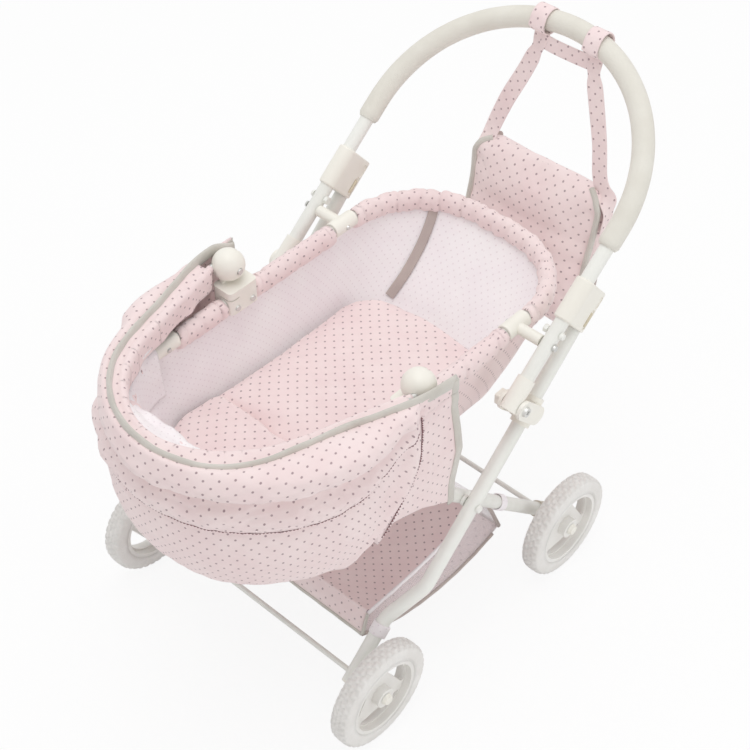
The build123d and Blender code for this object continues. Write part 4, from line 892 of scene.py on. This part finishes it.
def hood_keys(x, y, nx, ny, s, share):
    """Key points of the cloth from its free edge over roll, crease, band and seam to the hem."""
    q = abs(s)
    w = 1 - blend01(q, FRONT_ARC - 30, FRONT_ARC + 70)
    knob = blend01(q, FRONT_ARC - 60, KNOB_S)
    edge = edge_at(share)
    crease = CREASE_Z - 2 * knob + 2.5 * w * wave(s / 50.0, 0.4, 6.0)
    seam = SEAM_Z + 32 * knob
    low = table_at(y, LOW_EDGE)
    band = crease - seam
    body = seam - 14 - low

    def at(o, z):
        return np.array([x + nx * o, y + ny * o, z])

    puff = w * (0.2 + 0.8 * blend01(x, -100.0, 30.0))
    gap = max(0.0, (x - edge[0]) * nx + (y - edge[1]) * ny - 4.0)
    leg = blend01(y, -232.0, -212.0)
    tuck = gap * blend01(-x, -20.0, 90.0) * (1 - 0.5 * leg)
    front_tuck = tuck * (1 - blend01(y, -235.0, -205.0))
    top = at(8.0 * puff + 0.8 - 0.6 * tuck, crease + 13 + 4 * w)
    over = (edge + top) / 2 + np.array([nx, ny, 0]) * 1.5 + np.array([0, 0, 4.0 * w + 0.8])
    keys = [edge + np.array([0, 0, -4.0]), edge * 0.8 + over * 0.2 + np.array([0, 0, 0.5]), over, top,
            at(12.0 * puff + 1.2 - 0.5 * tuck, crease + 8), at(13.2 * puff + 1.2 - 0.45 * tuck, crease + 1),
            at(11.0 * puff + 1.0 - 0.4 * tuck, crease - 5), at(4.0 * puff + 0.4 - 0.4 * tuck, crease - 5.5),
            at(-5.0 * puff * (1 - 0.6 * leg) - 0.4 * tuck, crease - 2.0),
            at(-7.0 * puff * (1 - leg) - 0.35 * front_tuck, crease - 8),
            at(-1.5 * w * (1 - leg) + 0.5 - 0.3 * front_tuck, crease - 0.38 * band),
            at(5.5 * w + 1.0 - 0.15 * front_tuck, crease - 0.6 * band), at(8.0 * w + 1.0, crease - 0.76 * band),
            at(6.6 * w + 0.9, seam + 0.14 * band), at(4.2 * w + 0.4, seam + 0.5), at(-1.0 * w + 0.3, seam - 3.0),
            at(0.8 * w + 0.6, seam - 14), at(1.6 * w + 0.8, seam - 14 - 0.35 * body),
            at(-4.0 * w + 0.4, low + 0.3 * body), at(-13.0 * w, low + 3), at(-14.5 * w - 0.3, low)]
    return keys, seam, w


def hood_fold(s, y, z, seam, w):
    """Outward push of folds and creases."""
    q = abs(s)
    sway = 2.6 * wave(s / 60.0, z / 40.0, 0.3)
    d = 2.2 * w * math.sin(s / 11.0 + z / 13.0 + sway) * bell(z - 374, 15)
    d += 1.2 * w * math.sin(s / 19.0 - z / 14.0 + sway) * bell(z - CREASE_Z, 10)
    if z < seam:
        deep = min(1.0, (seam - z) / 70)
        d += 1.7 * deep * wave(s / 44.0, z / 120.0, 1.7) * (0.35 + w)
    da, dz = q - KNOB_S, z - KNOB_Z
    r = math.hypot(da, dz)
    ang = math.atan2(-dz, -da)
    if q < KNOB_S - 6:
        ray = math.sin(12.0 * ang + (0.6 if s > 0 else 1.7)) * bell(r - 70, 42)
        d += 2.4 * ray * (1 - 0.5 * w)
    if q > FRONT_ARC - 60 and z > SIDE_SEAM[0][0]:
        off = y - table_at(z, SIDE_SEAM)
        d += 5.5 * bell(off + 15, 9.0) - 2.6 * bell(off, 3.2)
    rear = blend01(y, -86.0, FLAP_Y)
    d += 0.6 * wave(s / 15.0, z / 15.0, 8.0)
    crinkle = 1 - abs(wave(s / 26.0 + z / 34.0, z / 12.0 - s / 70.0, 3.1))
    d -= (1.9 if z > seam else 0.7) * crinkle ** 7
    return d * (1 - 0.9 * rear) + rear * table_at(z, FLAP_WAVE)


rows, uv, seam_line, seam_out = [], [], [], []
t = tangents(plan)
plan_out = np.stack([-t[:, 1], t[:, 0]], 1)
for (x, y), (nx, ny), s in zip(plan, plan_out, plan_s):
    keys, seam, w = hood_keys(x, y, nx, ny, s, (s - plan_s[0]) / (plan_s[-1] - plan_s[0]))
    prof, at = resample(smooth_line(keys, 260), HOOD_STEPS)
    row = []
    for p in prof:
        d = hood_fold(s, y, p[2], seam, w) * min(1.0, max(0.0, (ROLL_TOP - p[2]) / 14))
        off = (p[0] - x) * nx + (p[1] - y) * ny
        if abs(s) > FRONT_ARC and p[2] < FLAP_TOP:
            d = max(d, -0.6 - off)
        row.append((p[0] + nx * d, p[1] + ny * d, p[2]))
    k = int(np.argmin(np.abs(np.array(row)[:, 2] - seam)))
    seam_line.append(row[k])
    seam_out.append((nx, ny, 0.25))
    rows.append(row)
    uv.append([(s, -v) for v in at])
hood_rows = np.array(rows)
hood = grid("hood_canopy", rows, uv, [pink, lining, pink, pink])
cols = HOOD_STEPS - 1
flap = [2 if abs(plan_s[k // cols]) > FRONT_ARC - 40 or k % cols < ROLL_STEPS else 0
        for k in range(len(hood.data.polygons))]
hood.data.polygons.foreach_set("material_index", flap)
modifier(hood, "SOLIDIFY", thickness=1.1 * MM, offset=-1, material_offset=1, material_offset_rim=0)
bake(hood)


def hang(obj):
    """Bakes the placement of obj into its mesh."""
    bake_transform(obj)


hang(hood)
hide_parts("hood_cloth")
keep = [i for i, s in enumerate(plan_s) if abs(s) < KNOB_S - 24]
# Nearly joined dark stitches along the hood seam: the thread, and painted shade of the crease along it
thread = stitches("hood_seam_stitching_and_crease_shade", np.array(seam_line)[keep], np.array(seam_out)[keep], 3.4, 0.2, 0.6)
hang(thread)
for side, sx in SIDES:
    pts, outs = [], []
    near = [row for row in hood_rows if row[40, 0] * sx > 60]
    for z in np.linspace(402, 256, 60):
        y = table_at(z, SIDE_SEAM)
        level = []
        for row in near:
            low = row[row[:, 2] < 406][::-1]
            level.append([np.interp(z, low[:, 2], low[:, k]) for k in (1, 0)])
        level = np.array(sorted(level))
        pts.append((np.interp(y, level[:, 0], level[:, 1]) + sx * 0.3, y, z))
        outs.append((sx, 0.0 if y > HOOD_Y else (y - HOOD_Y) / HOOD_R, 0.1))
    pts = np.array(pts)
    pts[:, 0] = np.convolve(np.pad(pts[:, 0], 3, mode="edge"), np.ones(7) / 7, mode="valid")
    # Thick dark stitches down the side seam: the thread, and painted shade of the crease along it
    hang(stitches("hood_side_stitching_and_crease_shade_" + side, pts, outs, 3.2, 0.1, 1.0))
    edge = hood_rows[0 if sx > 0 else -1] + np.array([0.0, -2.5, 0])
    hang(tube("hood_flap_binding_" + side, even(edge[5:], 3.0), lambda s, g: (1.4, 5.2), satin, 14,
              up=(1, 0, 0)))

trim_pts = edge_line.copy()
for i, s in enumerate(edge_s):
    trim_pts[i, 2] += -1.4 + 0.9 * math.sin(s / 47.0) + 0.8 * wave(s / 30.0, 0.2, 5.0)
trim = tube("hood_trim_binding", even(trim_pts, 4.0),
            lambda s, g: (7.3 + 0.4 * math.sin(s / 9.0), 3.1 + 0.3 * math.sin(s / 6.0 + 2 * g)), satin, 18)
dress(trim, "hood", "hood_trim")
bow_line = tilted(cubic(BOW_HALF, BOW_NOSE)[0], KNOB_Z)
casing = tube("hood_bow_casing", even(bow_line, 3.0), lambda s, g: (4.3, 4.3), pink, 16)
dress(casing, "hood")

# Facing inside the free edge, over the bow
LIFT = np.array([0, 0, 1.0])
FACING_STEPS, LINING_STEPS = 22, 40
FACING = ((3.5, 4.2), (-0.5, 5.2), (-4.6, 2.6), (-5.6, -4.0), (-4.5, -15.0), (-3.5, -24.0))
rows, uv = [], []
for e, s, flat in zip(edge_line, edge_s, edge_flat):
    if flat[1] > -27:
        continue
    b = bow_line[int(np.argmin(np.linalg.norm(bow_line[:, :2] - e[:2], axis=1)))]
    d = np.array([e[0] - b[0], e[1] - b[1], 0.0])
    d /= np.linalg.norm(d)
    keys = [e - d * 0.5 - LIFT * 1.5] + [b + d * out + LIFT * up for out, up in FACING]
    prof, at = resample(smooth_line(keys, 60), FACING_STEPS)
    row = []
    for k, c in enumerate(prof):
        ripple = 1.6 * math.sin(s / 9.0 + 2.5 * wave(s / 40.0, 0.7, 2.0)) + 1.2 * fbm(c, 16.0, 2.2)
        row.append(c - d * max(0.0, k / (FACING_STEPS - 1) - 0.25) * ripple)
    rows.append(row)
    uv.append([(s, v) for v in at])
facing = bake(hung_sheet("hood_facing", rows, uv, pink, 0.7))
dress(facing, "hood")

# Lining of the hood, from its free edge over the front of the rim into the tub
rim_front, rim_run = rim_line(-203.0, RIM_Y[0], RIM_CORNERS[0])
HUB = np.array([0.0, -185.0])
OVER_RIM = ((3, 12.5), (-8, 9.5), (-12.0, -6), (-12.5, -28), (-15.0, -50))
turn_of = np.unwrap(np.arctan2(edge_line[:, 1] - HUB[1], edge_line[:, 0] - HUB[0]))
order = np.argsort(turn_of)
rows, uv = [], []
for p, r in zip(rim_front, rim_run):
    d = p[:2] - HUB
    g = math.atan2(d[1], d[0])
    g = g - 2 * math.pi if g > turn_of.max() + 0.01 else g
    d = np.append(d / np.linalg.norm(d), 0.0)
    e = np.array([np.interp(g, turn_of[order], edge_line[order, k]) for k in range(3)])
    near_edge = [e - d * 12.0 - LIFT * 20.0, e - d * 13.5 - LIFT * 27]
    over_rim = [p + d * out + LIFT * up for out, up in OVER_RIM]
    keys = near_edge + [(near_edge[1] + over_rim[0]) / 2 + LIFT * 2.5] + over_rim
    prof, at = resample(smooth_line(keys, 120), LINING_STEPS)
    row = []
    for k, c in enumerate(prof):
        soft_part = math.sin(math.pi * k / (LINING_STEPS - 1))
        crumple = 4.0 * fbm(c, 30.0, 1.1) + 2.8 * fbm(c, 14.0, 5.5)
        row.append(c + (LIFT * 0.8 - d * 0.6) * crumple * soft_part)
    rows.append(row)
    uv.append([(r, v) for v in at])
inside = bake(hung_sheet("hood_lining", rows, uv, lining, 0.8))
hang(inside)


# Basket
BASKET_X = 127.0
B_FRONT, B_DIP, B_REAR = (-161.0, 88.0), (-40.0, 50.0), (72.0, 66.0)
LIP_TOP, NET_TOP = (-152.0, 116.0), (40.0, 140.0)
ALONG = 60


def arc3(a, b, c, n):
    """n points on the circle arc from a over b to c."""
    a, b, c = (np.array(p, float) for p in (a, b, c))
    m = np.array([b - a, c - b])
    k = np.array([(b @ b - a @ a) / 2, (c @ c - b @ b) / 2])
    o = np.linalg.solve(m, k)
    r = np.linalg.norm(a - o)
    th = [math.atan2(*(p - o)[::-1]) for p in (a, b, c)]
    while th[1] < th[0]:
        th[1] += 2 * math.pi
    while th[2] < th[1]:
        th[2] += 2 * math.pi
    return np.array([o + r * np.array([math.cos(x), math.sin(x)]) for x in np.linspace(th[0], th[2], n)])


floor_arc = arc3(B_FRONT, B_DIP, B_REAR, ALONG)
floor_run = run_of(floor_arc)
top_mid = ((LIP_TOP[0] + NET_TOP[0]) / 2, (LIP_TOP[1] + NET_TOP[1]) / 2 - 8)
top_line = smooth_line([LIP_TOP, top_mid, NET_TOP], ALONG)


# Point and cloth coordinates on each panel
def sling_spot(x, i):
    y, z = floor_arc[i]
    mid = math.sin(math.pi * i / (ALONG - 1))
    sag = -3.0 * (1 - (x / BASKET_X) ** 2) * mid + 1.1 * mid * fbm((x, y, 0), 40.0, 2.0)
    return (x, y, z + (sag + 0.5 * mid * fbm((x, y, 0), 16.0, 6.0))), (x, floor_run[i])


def lip_spot(x, f):
    y = B_FRONT[0] + (LIP_TOP[0] - B_FRONT[0]) * f - 3.0 * math.sin(math.pi * f)
    z = B_FRONT[1] + (LIP_TOP[1] - B_FRONT[1]) * f
    y += 0.9 * math.sin(math.pi * f) * fbm((x, 0, z), 26.0, 9.0)
    return (x, y + 1.0, z), (x, 30 * f)


def net_spot(sx, i, f):
    y, z = floor_arc[i] * (1 - f) + top_line[i] * f
    bow = 1.8 * math.sin(math.pi * f) * math.sin(math.pi * i / (ALONG - 1))
    x = BASKET_X + 0.6 + bow + 0.5 * fbm((0, y, z), 30.0, 4.0) * math.sin(math.pi * f)
    return (sx * x, y, z), (y, z)


def back_spot(x, f):
    y = B_REAR[0] + (NET_TOP[0] - B_REAR[0]) * f + 1.5 * math.sin(math.pi * f)
    z = B_REAR[1] + (NET_TOP[1] - B_REAR[1]) * f - 4 * f * (1 - (x / BASKET_X) ** 2)
    return (x, y, z), (x, 80 * f)


def panel(name, spot, us, vs, mat, thick, node):
    """A sheet of the basket; spot gives the point and the cloth coordinates at each (u, v)."""
    cells = [[spot(u, v) for v in vs] for u in us]
    rows, uv = ([[cell[k] for cell in row] for row in cells] for k in (0, 1))
    dress(hung_sheet(name, rows, uv, mat, thick), "chassis", node)


def across_basket(n):
    """n even steps over the width."""
    return np.linspace(-BASKET_X, BASKET_X, n)


def shares(n):
    """n even steps from 0 to 1."""
    return [k / (n - 1) for k in range(n)]


panel("basket_sling", sling_spot, across_basket(56), range(ALONG), pink, 1.4, "basket_floor")
panel("basket_lip", lip_spot, across_basket(56), shares(14), pink, 1.4, "basket_front")
for side, sx in SIDES:
    panel("basket_net_" + side, lambda i, f: net_spot(sx, i, f), range(ALONG), shares(18), net,
          0.7, "basket_net")
panel("basket_net_back", back_spot, across_basket(40), shares(16), net, 0.7,
      "basket_net")
BINDING_LOOKS = {"top": lining, "rear": taupe, "fore": satin, "low": taupe, "lip": pink, "nose": satin,
                 "tail": taupe}
bindings = []
for side, sx in SIDES:
    x = sx * (BASKET_X + 1.5)
    rear_mid = (x, (B_REAR[0] + NET_TOP[0]) / 2 + 1, (B_REAR[1] + NET_TOP[1]) / 2)
    bindings.append(("top_" + side, [(x, *p) for p in top_line]))
    bindings.append(("rear_" + side, [(x, *B_REAR), rear_mid, (x, *NET_TOP)]))
    bindings.append(("fore_" + side, [(x, *B_FRONT), (x, *LIP_TOP)]))
    bindings.append(("low_" + side, [(x, *p) for p in floor_arc[::4]]))
bindings.append(("lip", [(x, LIP_TOP[0] + 1, LIP_TOP[1] + 1 - 2.5 * (1 - (x / BASKET_X) ** 2))
                         for x in across_basket(20)]))
bindings.append(("nose", [(x, B_FRONT[0], B_FRONT[1] - 1) for x in across_basket(20)]))
bindings.append(("tail", [(x, *B_REAR) for x in across_basket(20)]))
for name, pts in bindings:
    pipe = tube("basket_binding_" + name, even(pts, 4.0), lambda s, g: (2.5, 1.7 + 0.2 * math.sin(s / 5.0)),
                BINDING_LOOKS[name.split("_")[0]], 12)
    dress(pipe, "chassis", "basket_binding")


def loop_ring(name, centre, axis, inner, width, thick, mat):
    """A sewn cloth loop round a tube, with an overlap where it is closed."""
    axis = np.asarray(axis, float) / np.linalg.norm(axis)
    a = np.cross(axis, (0, 0, 1.0))
    a = a / np.linalg.norm(a)
    b = np.cross(axis, a)
    pts = [centre + (a * math.cos(g) + b * math.sin(g)) * (inner + thick / 2 + 0.3 * math.sin(3 * g))
           for g in np.linspace(0, 2 * math.pi * 1.04, 60)]
    for k, p in enumerate(pts[-4:]):
        pts[len(pts) - 4 + k] = p + (p - centre) / np.linalg.norm(p - centre) * thick * (k + 1) / 4
    return ribbon(name, even(pts, 2.0), width, axis, thick, mat)


U_A = np.array([0.7261, 0.6876])
U_B = np.array([-0.7082, 0.7060])
LOOP_R, LOOP_W, LOOP_T = 8.3, 14.0, 1.3
LOOP_SPOTS = (("front", "chassis", 145.0, FRONT_AXLE, 57, U_A),
              ("rear", "rear_frame", 148.0, REAR_AXLE, 119, U_B))
for side, sx in SIDES:
    for end, body, x, axle, up, leg in LOOP_SPOTS:
        c = np.array([sx * x, axle[0] + up * leg[0], axle[1] + up * leg[1]])
        loop = loop_ring("basket_loop_%s_%s" % (end, side), c, (0, *leg), LOOP_R, LOOP_W, LOOP_T, lining)
        dress(loop, body, "basket_loops_" + end)


# Bag
STRAP_X, STRAP_FOOT_X, BAG_DROP, BAG_H, BAG_HALF, BAG_T = 36.0, 82.0, 155.0, 190.0, 95.0, 40.0
GRIP_LOOP_R, STRAP_W, STRAP_T = 13.9, 20.0, 1.8
LEAN = math.radians(11.3)
HINGE = on_handle(ARCH_S + math.sqrt(FRAME_X ** 2 - STRAP_X ** 2))
BAG_UP = np.array([0, math.sin(LEAN), math.cos(LEAN)])
BAG_FRONT = np.array([0, -math.cos(LEAN), math.sin(LEAN)])


def on_bag(x, drop, front=0.0):
    return np.array([x, HINGE[1], HINGE[2]]) - BAG_UP * drop + BAG_FRONT * front


BAG_PUFF, BAG_RING = (1.08, 1.4), 64
rows = []
levels = np.concatenate([np.linspace(0, 0.14, 12), np.linspace(0.16, 0.84, 22), np.linspace(0.86, 1, 12)])
for f in levels:
    drop = BAG_DROP + 2 + (BAG_H - 4) * f
    near_end = min(f, 1 - f) * BAG_H

    def rounding(r):
        k = max(0.0, 1 - near_end / r)
        return 1 - math.sqrt(max(0.0, 1 - k * k))

    half = BAG_HALF - 4 - 22 * rounding(24.0)
    deep = (BAG_T / 2 - 3) * (1 - 0.86 * rounding(17.0)) * (0.86 + 0.14 * blend01(f, 0.0, 0.7))
    row = []
    for g in np.linspace(0, 2 * math.pi, BAG_RING, endpoint=False):
        cx, cy = math.cos(g), math.sin(g)
        x = half * math.copysign(abs(cx) ** 0.3, cx)
        d = deep * math.copysign(abs(cy) ** 0.38, cy) * (BAG_PUFF[0] if cy > 0 else BAG_PUFF[1])
        row.append(on_bag(x, drop, d))
    rows.append(row)
verts = np.array(rows).reshape(-1, 3)
faces = []
for i in range(0, (len(levels) - 1) * BAG_RING, BAG_RING):
    for j in range(BAG_RING):
        k = (j + 1) % BAG_RING
        faces.append([i + j, i + k, i + BAG_RING + k, i + BAG_RING + j])
faces.append(list(range(BAG_RING))[::-1])
faces.append(list(range(len(verts) - BAG_RING, len(verts))))
bag = inflate(make("bag_shell", verts, faces, pink), 5.0, 3.0, 6.0)
co = coords(bag.data) / MM
for p in co:
    rel = p - HINGE
    drop, front = -rel.dot(BAG_UP), rel.dot(BAG_FRONT)
    f = (drop - BAG_DROP) / BAG_H
    push = 2.4 * fbm(p, 52.0, 3.3) + 1.0 * fbm(p, 21.0, 7.7)
    push -= 2.6 * bell(f - 0.36, 0.05) * (0.5 + 0.5 * math.cos(p[0] / 60.0))
    p += BAG_FRONT * push * (1 if front > 0 else -1) * min(1.0, abs(front) / 8)
printed(bag, co, BAG_UP)
layer = bag.data.uv_layers["cloth"]
for poly in bag.data.polygons:
    side_face = abs(poly.normal.x) > 0.7
    if side_face or abs(np.array(poly.normal).dot(BAG_UP)) > 0.7:
        for k in poly.loop_indices:
            c = np.array(bag.data.vertices[bag.data.loops[k].vertex_index].co)
            layer.data[k].uv = (c.dot(BAG_FRONT), c.dot(BAG_UP)) if side_face else (c[0], c.dot(BAG_FRONT))
dress(bag, "bag", "bag_body")
PIPING = ((24, 1, 0.3), (12, 7, 0.7), (4, 17, 0.9), (0, 30, 1.0), (0, 60, 1.0), (0, 110, 1.0), (0, 150, 1.0),
          (3, 174, 1.0), (14, 187, 0.8))
for face in (1, -1):
    for side, sx in SIDES:
        pts = []
        for inset, drop, front in PIPING:
            out = front * (BAG_PUFF[0] if face > 0 else -BAG_PUFF[1]) * BAG_T / 2
            p = on_bag(sx * (BAG_HALF - inset), BAG_DROP + drop, out)
            hit = bag.closest_point_on_mesh(Vector(p * MM))
            pts.append(np.array(hit[1]) / MM + np.array(hit[2]) * 0.6)
        pipe = tube("bag_piping_%s_%s" % ("front" if face > 0 else "back", side), even(smooth_line(pts, 80), 3.0),
                    lambda s, g: (3.9, 3.4), satin if face > 0 else taupe, 12)
        dress(pipe, "bag", "bag_piping")
for side, sx in SIDES:
    c = np.array([sx * STRAP_X, HINGE[1], HINGE[2]])
    ring = loop_ring("bag_loop_" + side, c, (1, 0, 0), GRIP_LOOP_R, STRAP_W, STRAP_T, pink)
    dress(ring, "bag", "bag_straps")
    path = [(STRAP_X, 13.5, 0.0), (STRAP_X + 0.5, 24, 0.6), (STRAP_X + 3, 36, 0.4), (STRAP_X + 14, 68, -0.5),
            (STRAP_X + 29, 108, 0.8), (STRAP_FOOT_X - 6, 146, 1.5), (STRAP_FOOT_X - 5, 160, 6.0),
            (STRAP_FOOT_X - 5, 170, 13.0)]
    if sx > 0:
        path = path[:-2] + [(BAG_HALF - 4, 166, 1.0), (BAG_HALF + 0.5, 182, 0.5), (BAG_HALF + 1.0, 208, 0.5)]
    line = even(smooth_line([on_bag(sx * x, drop, f) for x, drop, f in path], 120), 3.0)

    def across(i, n=len(line[0]), sx=sx):
        a = (0.5 * math.pi * blend01(i / n, 0.72, 0.86) if sx > 0 else 0.0) + 0.06 * math.sin(9.0 * i / n)
        return np.array([math.cos(a), 0, 0]) - sx * BAG_FRONT * math.sin(a)

    obj = ribbon("bag_strap_" + side, line, lambda s: STRAP_W - 5.0 * bell(s - 22, 8.0), across,
                 STRAP_T, pink)
    dress(obj, "bag", "bag_straps")
bridge = even(smooth_line([on_bag(-STRAP_X, 24, 0.8), on_bag(-14, 25.5, 0.3), on_bag(14, 25.5, -0.3),
                           on_bag(STRAP_X, 24, 0.8)], 40), 3.0)
obj = ribbon("bag_bridge_strap", bridge, 17.0, BAG_UP, 1.6, pink)
dress(obj, "bag", "bag_straps")


# Tyres with small moulded blocks
def tyre_mesh():
    """One tyre round the x axis: rows of staggered blocks with grooves between the lanes."""
    prof = [(-11.5, 46.6), (-11.5, 52.0), (-11.4, 57.5), (-10.8, 60.6), (-9.6, 62.8)]
    prof += [(a, 64.0 + 0.6 * (1 - (a / 8.0) ** 2)) for a in np.linspace(-8.0, 8.0, 17)]
    prof += [(-a, r) for a, r in reversed(prof[:5])]
    blocks, per, lane_w = 40, 8, 4.8
    n = blocks * per
    rows = []
    for i in range(n):
        g = 2 * math.pi * i / n
        row = []
        for a, r in prof:
            lane = int(math.floor((a + 12.0) / lane_w))
            k = (i + (per // 2 if lane % 2 else 0)) % per
            gap = abs(((a + 12.0) % lane_w) - 0.2) < 0.75
            raised = 1 <= k <= 5 and not gap
            lift = 0.0
            if abs(a) < 9.7:
                lift = 0.45 if raised else -1.1
                if abs(a) <= 8.0 and raised:
                    lift = min(lift, WHEEL_R - r)
            elif abs(a) < 11.45 and r > 56:
                lift = -0.5 if k in (0, 6, 7) else 0.25
            rr = r + lift + 0.14 * wave(a / 3.0, 9 * math.cos(g), 9 * math.sin(g))
            rr = min(rr, WHEEL_R)
            row.append((a, rr * math.cos(g), rr * math.sin(g)))
        rows.append(row)
    uv = [[(60 * i / n, j) for j in range(len(prof) + 1)] for i in range(n + 1)]
    return grid("tyre", rows, uv, tyre_foam, wrap_u=True, wrap_v=True)


first = tyre_mesh()
for row, spot in (("front", FRONT_AXLE), ("rear", REAR_AXLE)):
    for side, sx in SIDES:
        obj = bpy.data.objects.new("tyre_tread_%s_%s" % (row, side), first.data)
        scene.collection.objects.link(obj)
        obj.location = (sx * WHEEL_X * MM, spot[0] * MM, spot[1] * MM)
        dress(obj, "wheel_%s_%s" % (row, side), "tyre_%s_%s" % (row, side))
bpy.data.objects.remove(first)


# Floor, light and camera
FLOOR_HALF, FLOOR_Z, FLOOR_GLOW, WORLD_LIGHT = 6.0, -0.0004, 0.88, 0.70
floor_mesh = bpy.data.meshes.new("floor")
corners = ((-1, -1), (1, -1), (1, 1), (-1, 1))
floor_mesh.from_pydata([(x * FLOOR_HALF, y * FLOOR_HALF, FLOOR_Z) for x, y in corners], [], [(0, 1, 2, 3)])
floor = bpy.data.objects.new("floor", floor_mesh)
scene.collection.objects.link(floor)
look = Look("pale_floor", Roughness=0.95, Specular_IOR_Level=0.1)
look.into("Base Color", look.mix(look.noise(look.point(), 3.0), srgb(250, 250, 250), srgb(248, 248, 248)))
glow = look.add("Emission", {1: 1.0}).outputs[0]
seen = look.add("LightPath").outputs["Is Camera Ray"]
both = look.add("MixShader", {0: look.calc("MULTIPLY", seen, FLOOR_GLOW), 1: look.bsdf.outputs[0], 2: glow})
look.tree.links.new(both.outputs[0], look.tree.nodes["Material Output"].inputs[0])
floor_mesh.materials.append(look.mat)

world = bpy.data.worlds.new("studio")
scene.world = world
world.use_nodes = True
sky = world.node_tree
sky.nodes.clear()
soft, white = (add_node(sky, "Background", {0: (1, 1, 1, 1), 1: v}).outputs[0] for v in (WORLD_LIGHT, 1.0))
rays = add_node(sky, "LightPath").outputs
seen = rays["Is Camera Ray"]
for ray in ("Is Glossy Ray", "Is Transmission Ray"):
    seen = add_node(sky, "Math", {0: seen, 1: rays[ray]}, operation="MAXIMUM").outputs[0]
mix = add_node(sky, "MixShader", {0: seen, 1: soft, 2: white})
add_node(sky, "OutputWorld", {0: mix.outputs[0]})

LIGHTS = (("key", (-0.6, 0.6, 2.6), (0, 0, 0.3), 1.8, 9), ("top", (0.2, -0.45, 3.0), (0, 0.1, 0.3), 1.6, 14),
          ("fill", (1.9, -1.4, 1.0), (0, 0, 0.25), 1.4, 1.5), ("side", (1.9, 0.9, 1.4), (0, 0, 0.3), 1.4, 2.5),
          ("low", (1.6, 0.1, 0.2), (0, -0.05, 0.14), 0.5, 1.0))
for name, place, aim, wide, power in LIGHTS:
    data = bpy.data.lights.new(name, "AREA")
    data.shape = "DISK"
    data.size = wide
    data.energy = power
    lamp = bpy.data.objects.new(name, data)
    lamp.location = place
    lamp.rotation_euler = (Vector(aim) - Vector(place)).to_track_quat("-Z", "Y").to_euler()
    scene.collection.objects.link(lamp)

# Camera fitted to the photograph
AZ, EL, ROLL = math.radians(43.32), math.radians(44.41), math.radians(-0.8)
CAMERA_AT, LENS = (0.8792, -0.9316, 1.5353), 78.75
back = Vector((math.sin(AZ) * math.cos(EL), -math.cos(AZ) * math.cos(EL), math.sin(EL)))
right = Vector((math.cos(AZ), math.sin(AZ), 0))
up = right.cross(-back)
r2 = math.cos(ROLL) * right + math.sin(ROLL) * up
u2 = -math.sin(ROLL) * right + math.cos(ROLL) * up
cam_data = bpy.data.cameras.new("photo")
cam_data.sensor_width = 36.0
cam_data.lens = LENS
cam = bpy.data.objects.new("photo", cam_data)
m = Matrix((r2, u2, back)).transposed().to_4x4()
m.translation = Vector(CAMERA_AT)
cam.matrix_world = m
scene.collection.objects.link(cam)
scene.camera = cam
scene.view_settings.view_transform = "Standard"
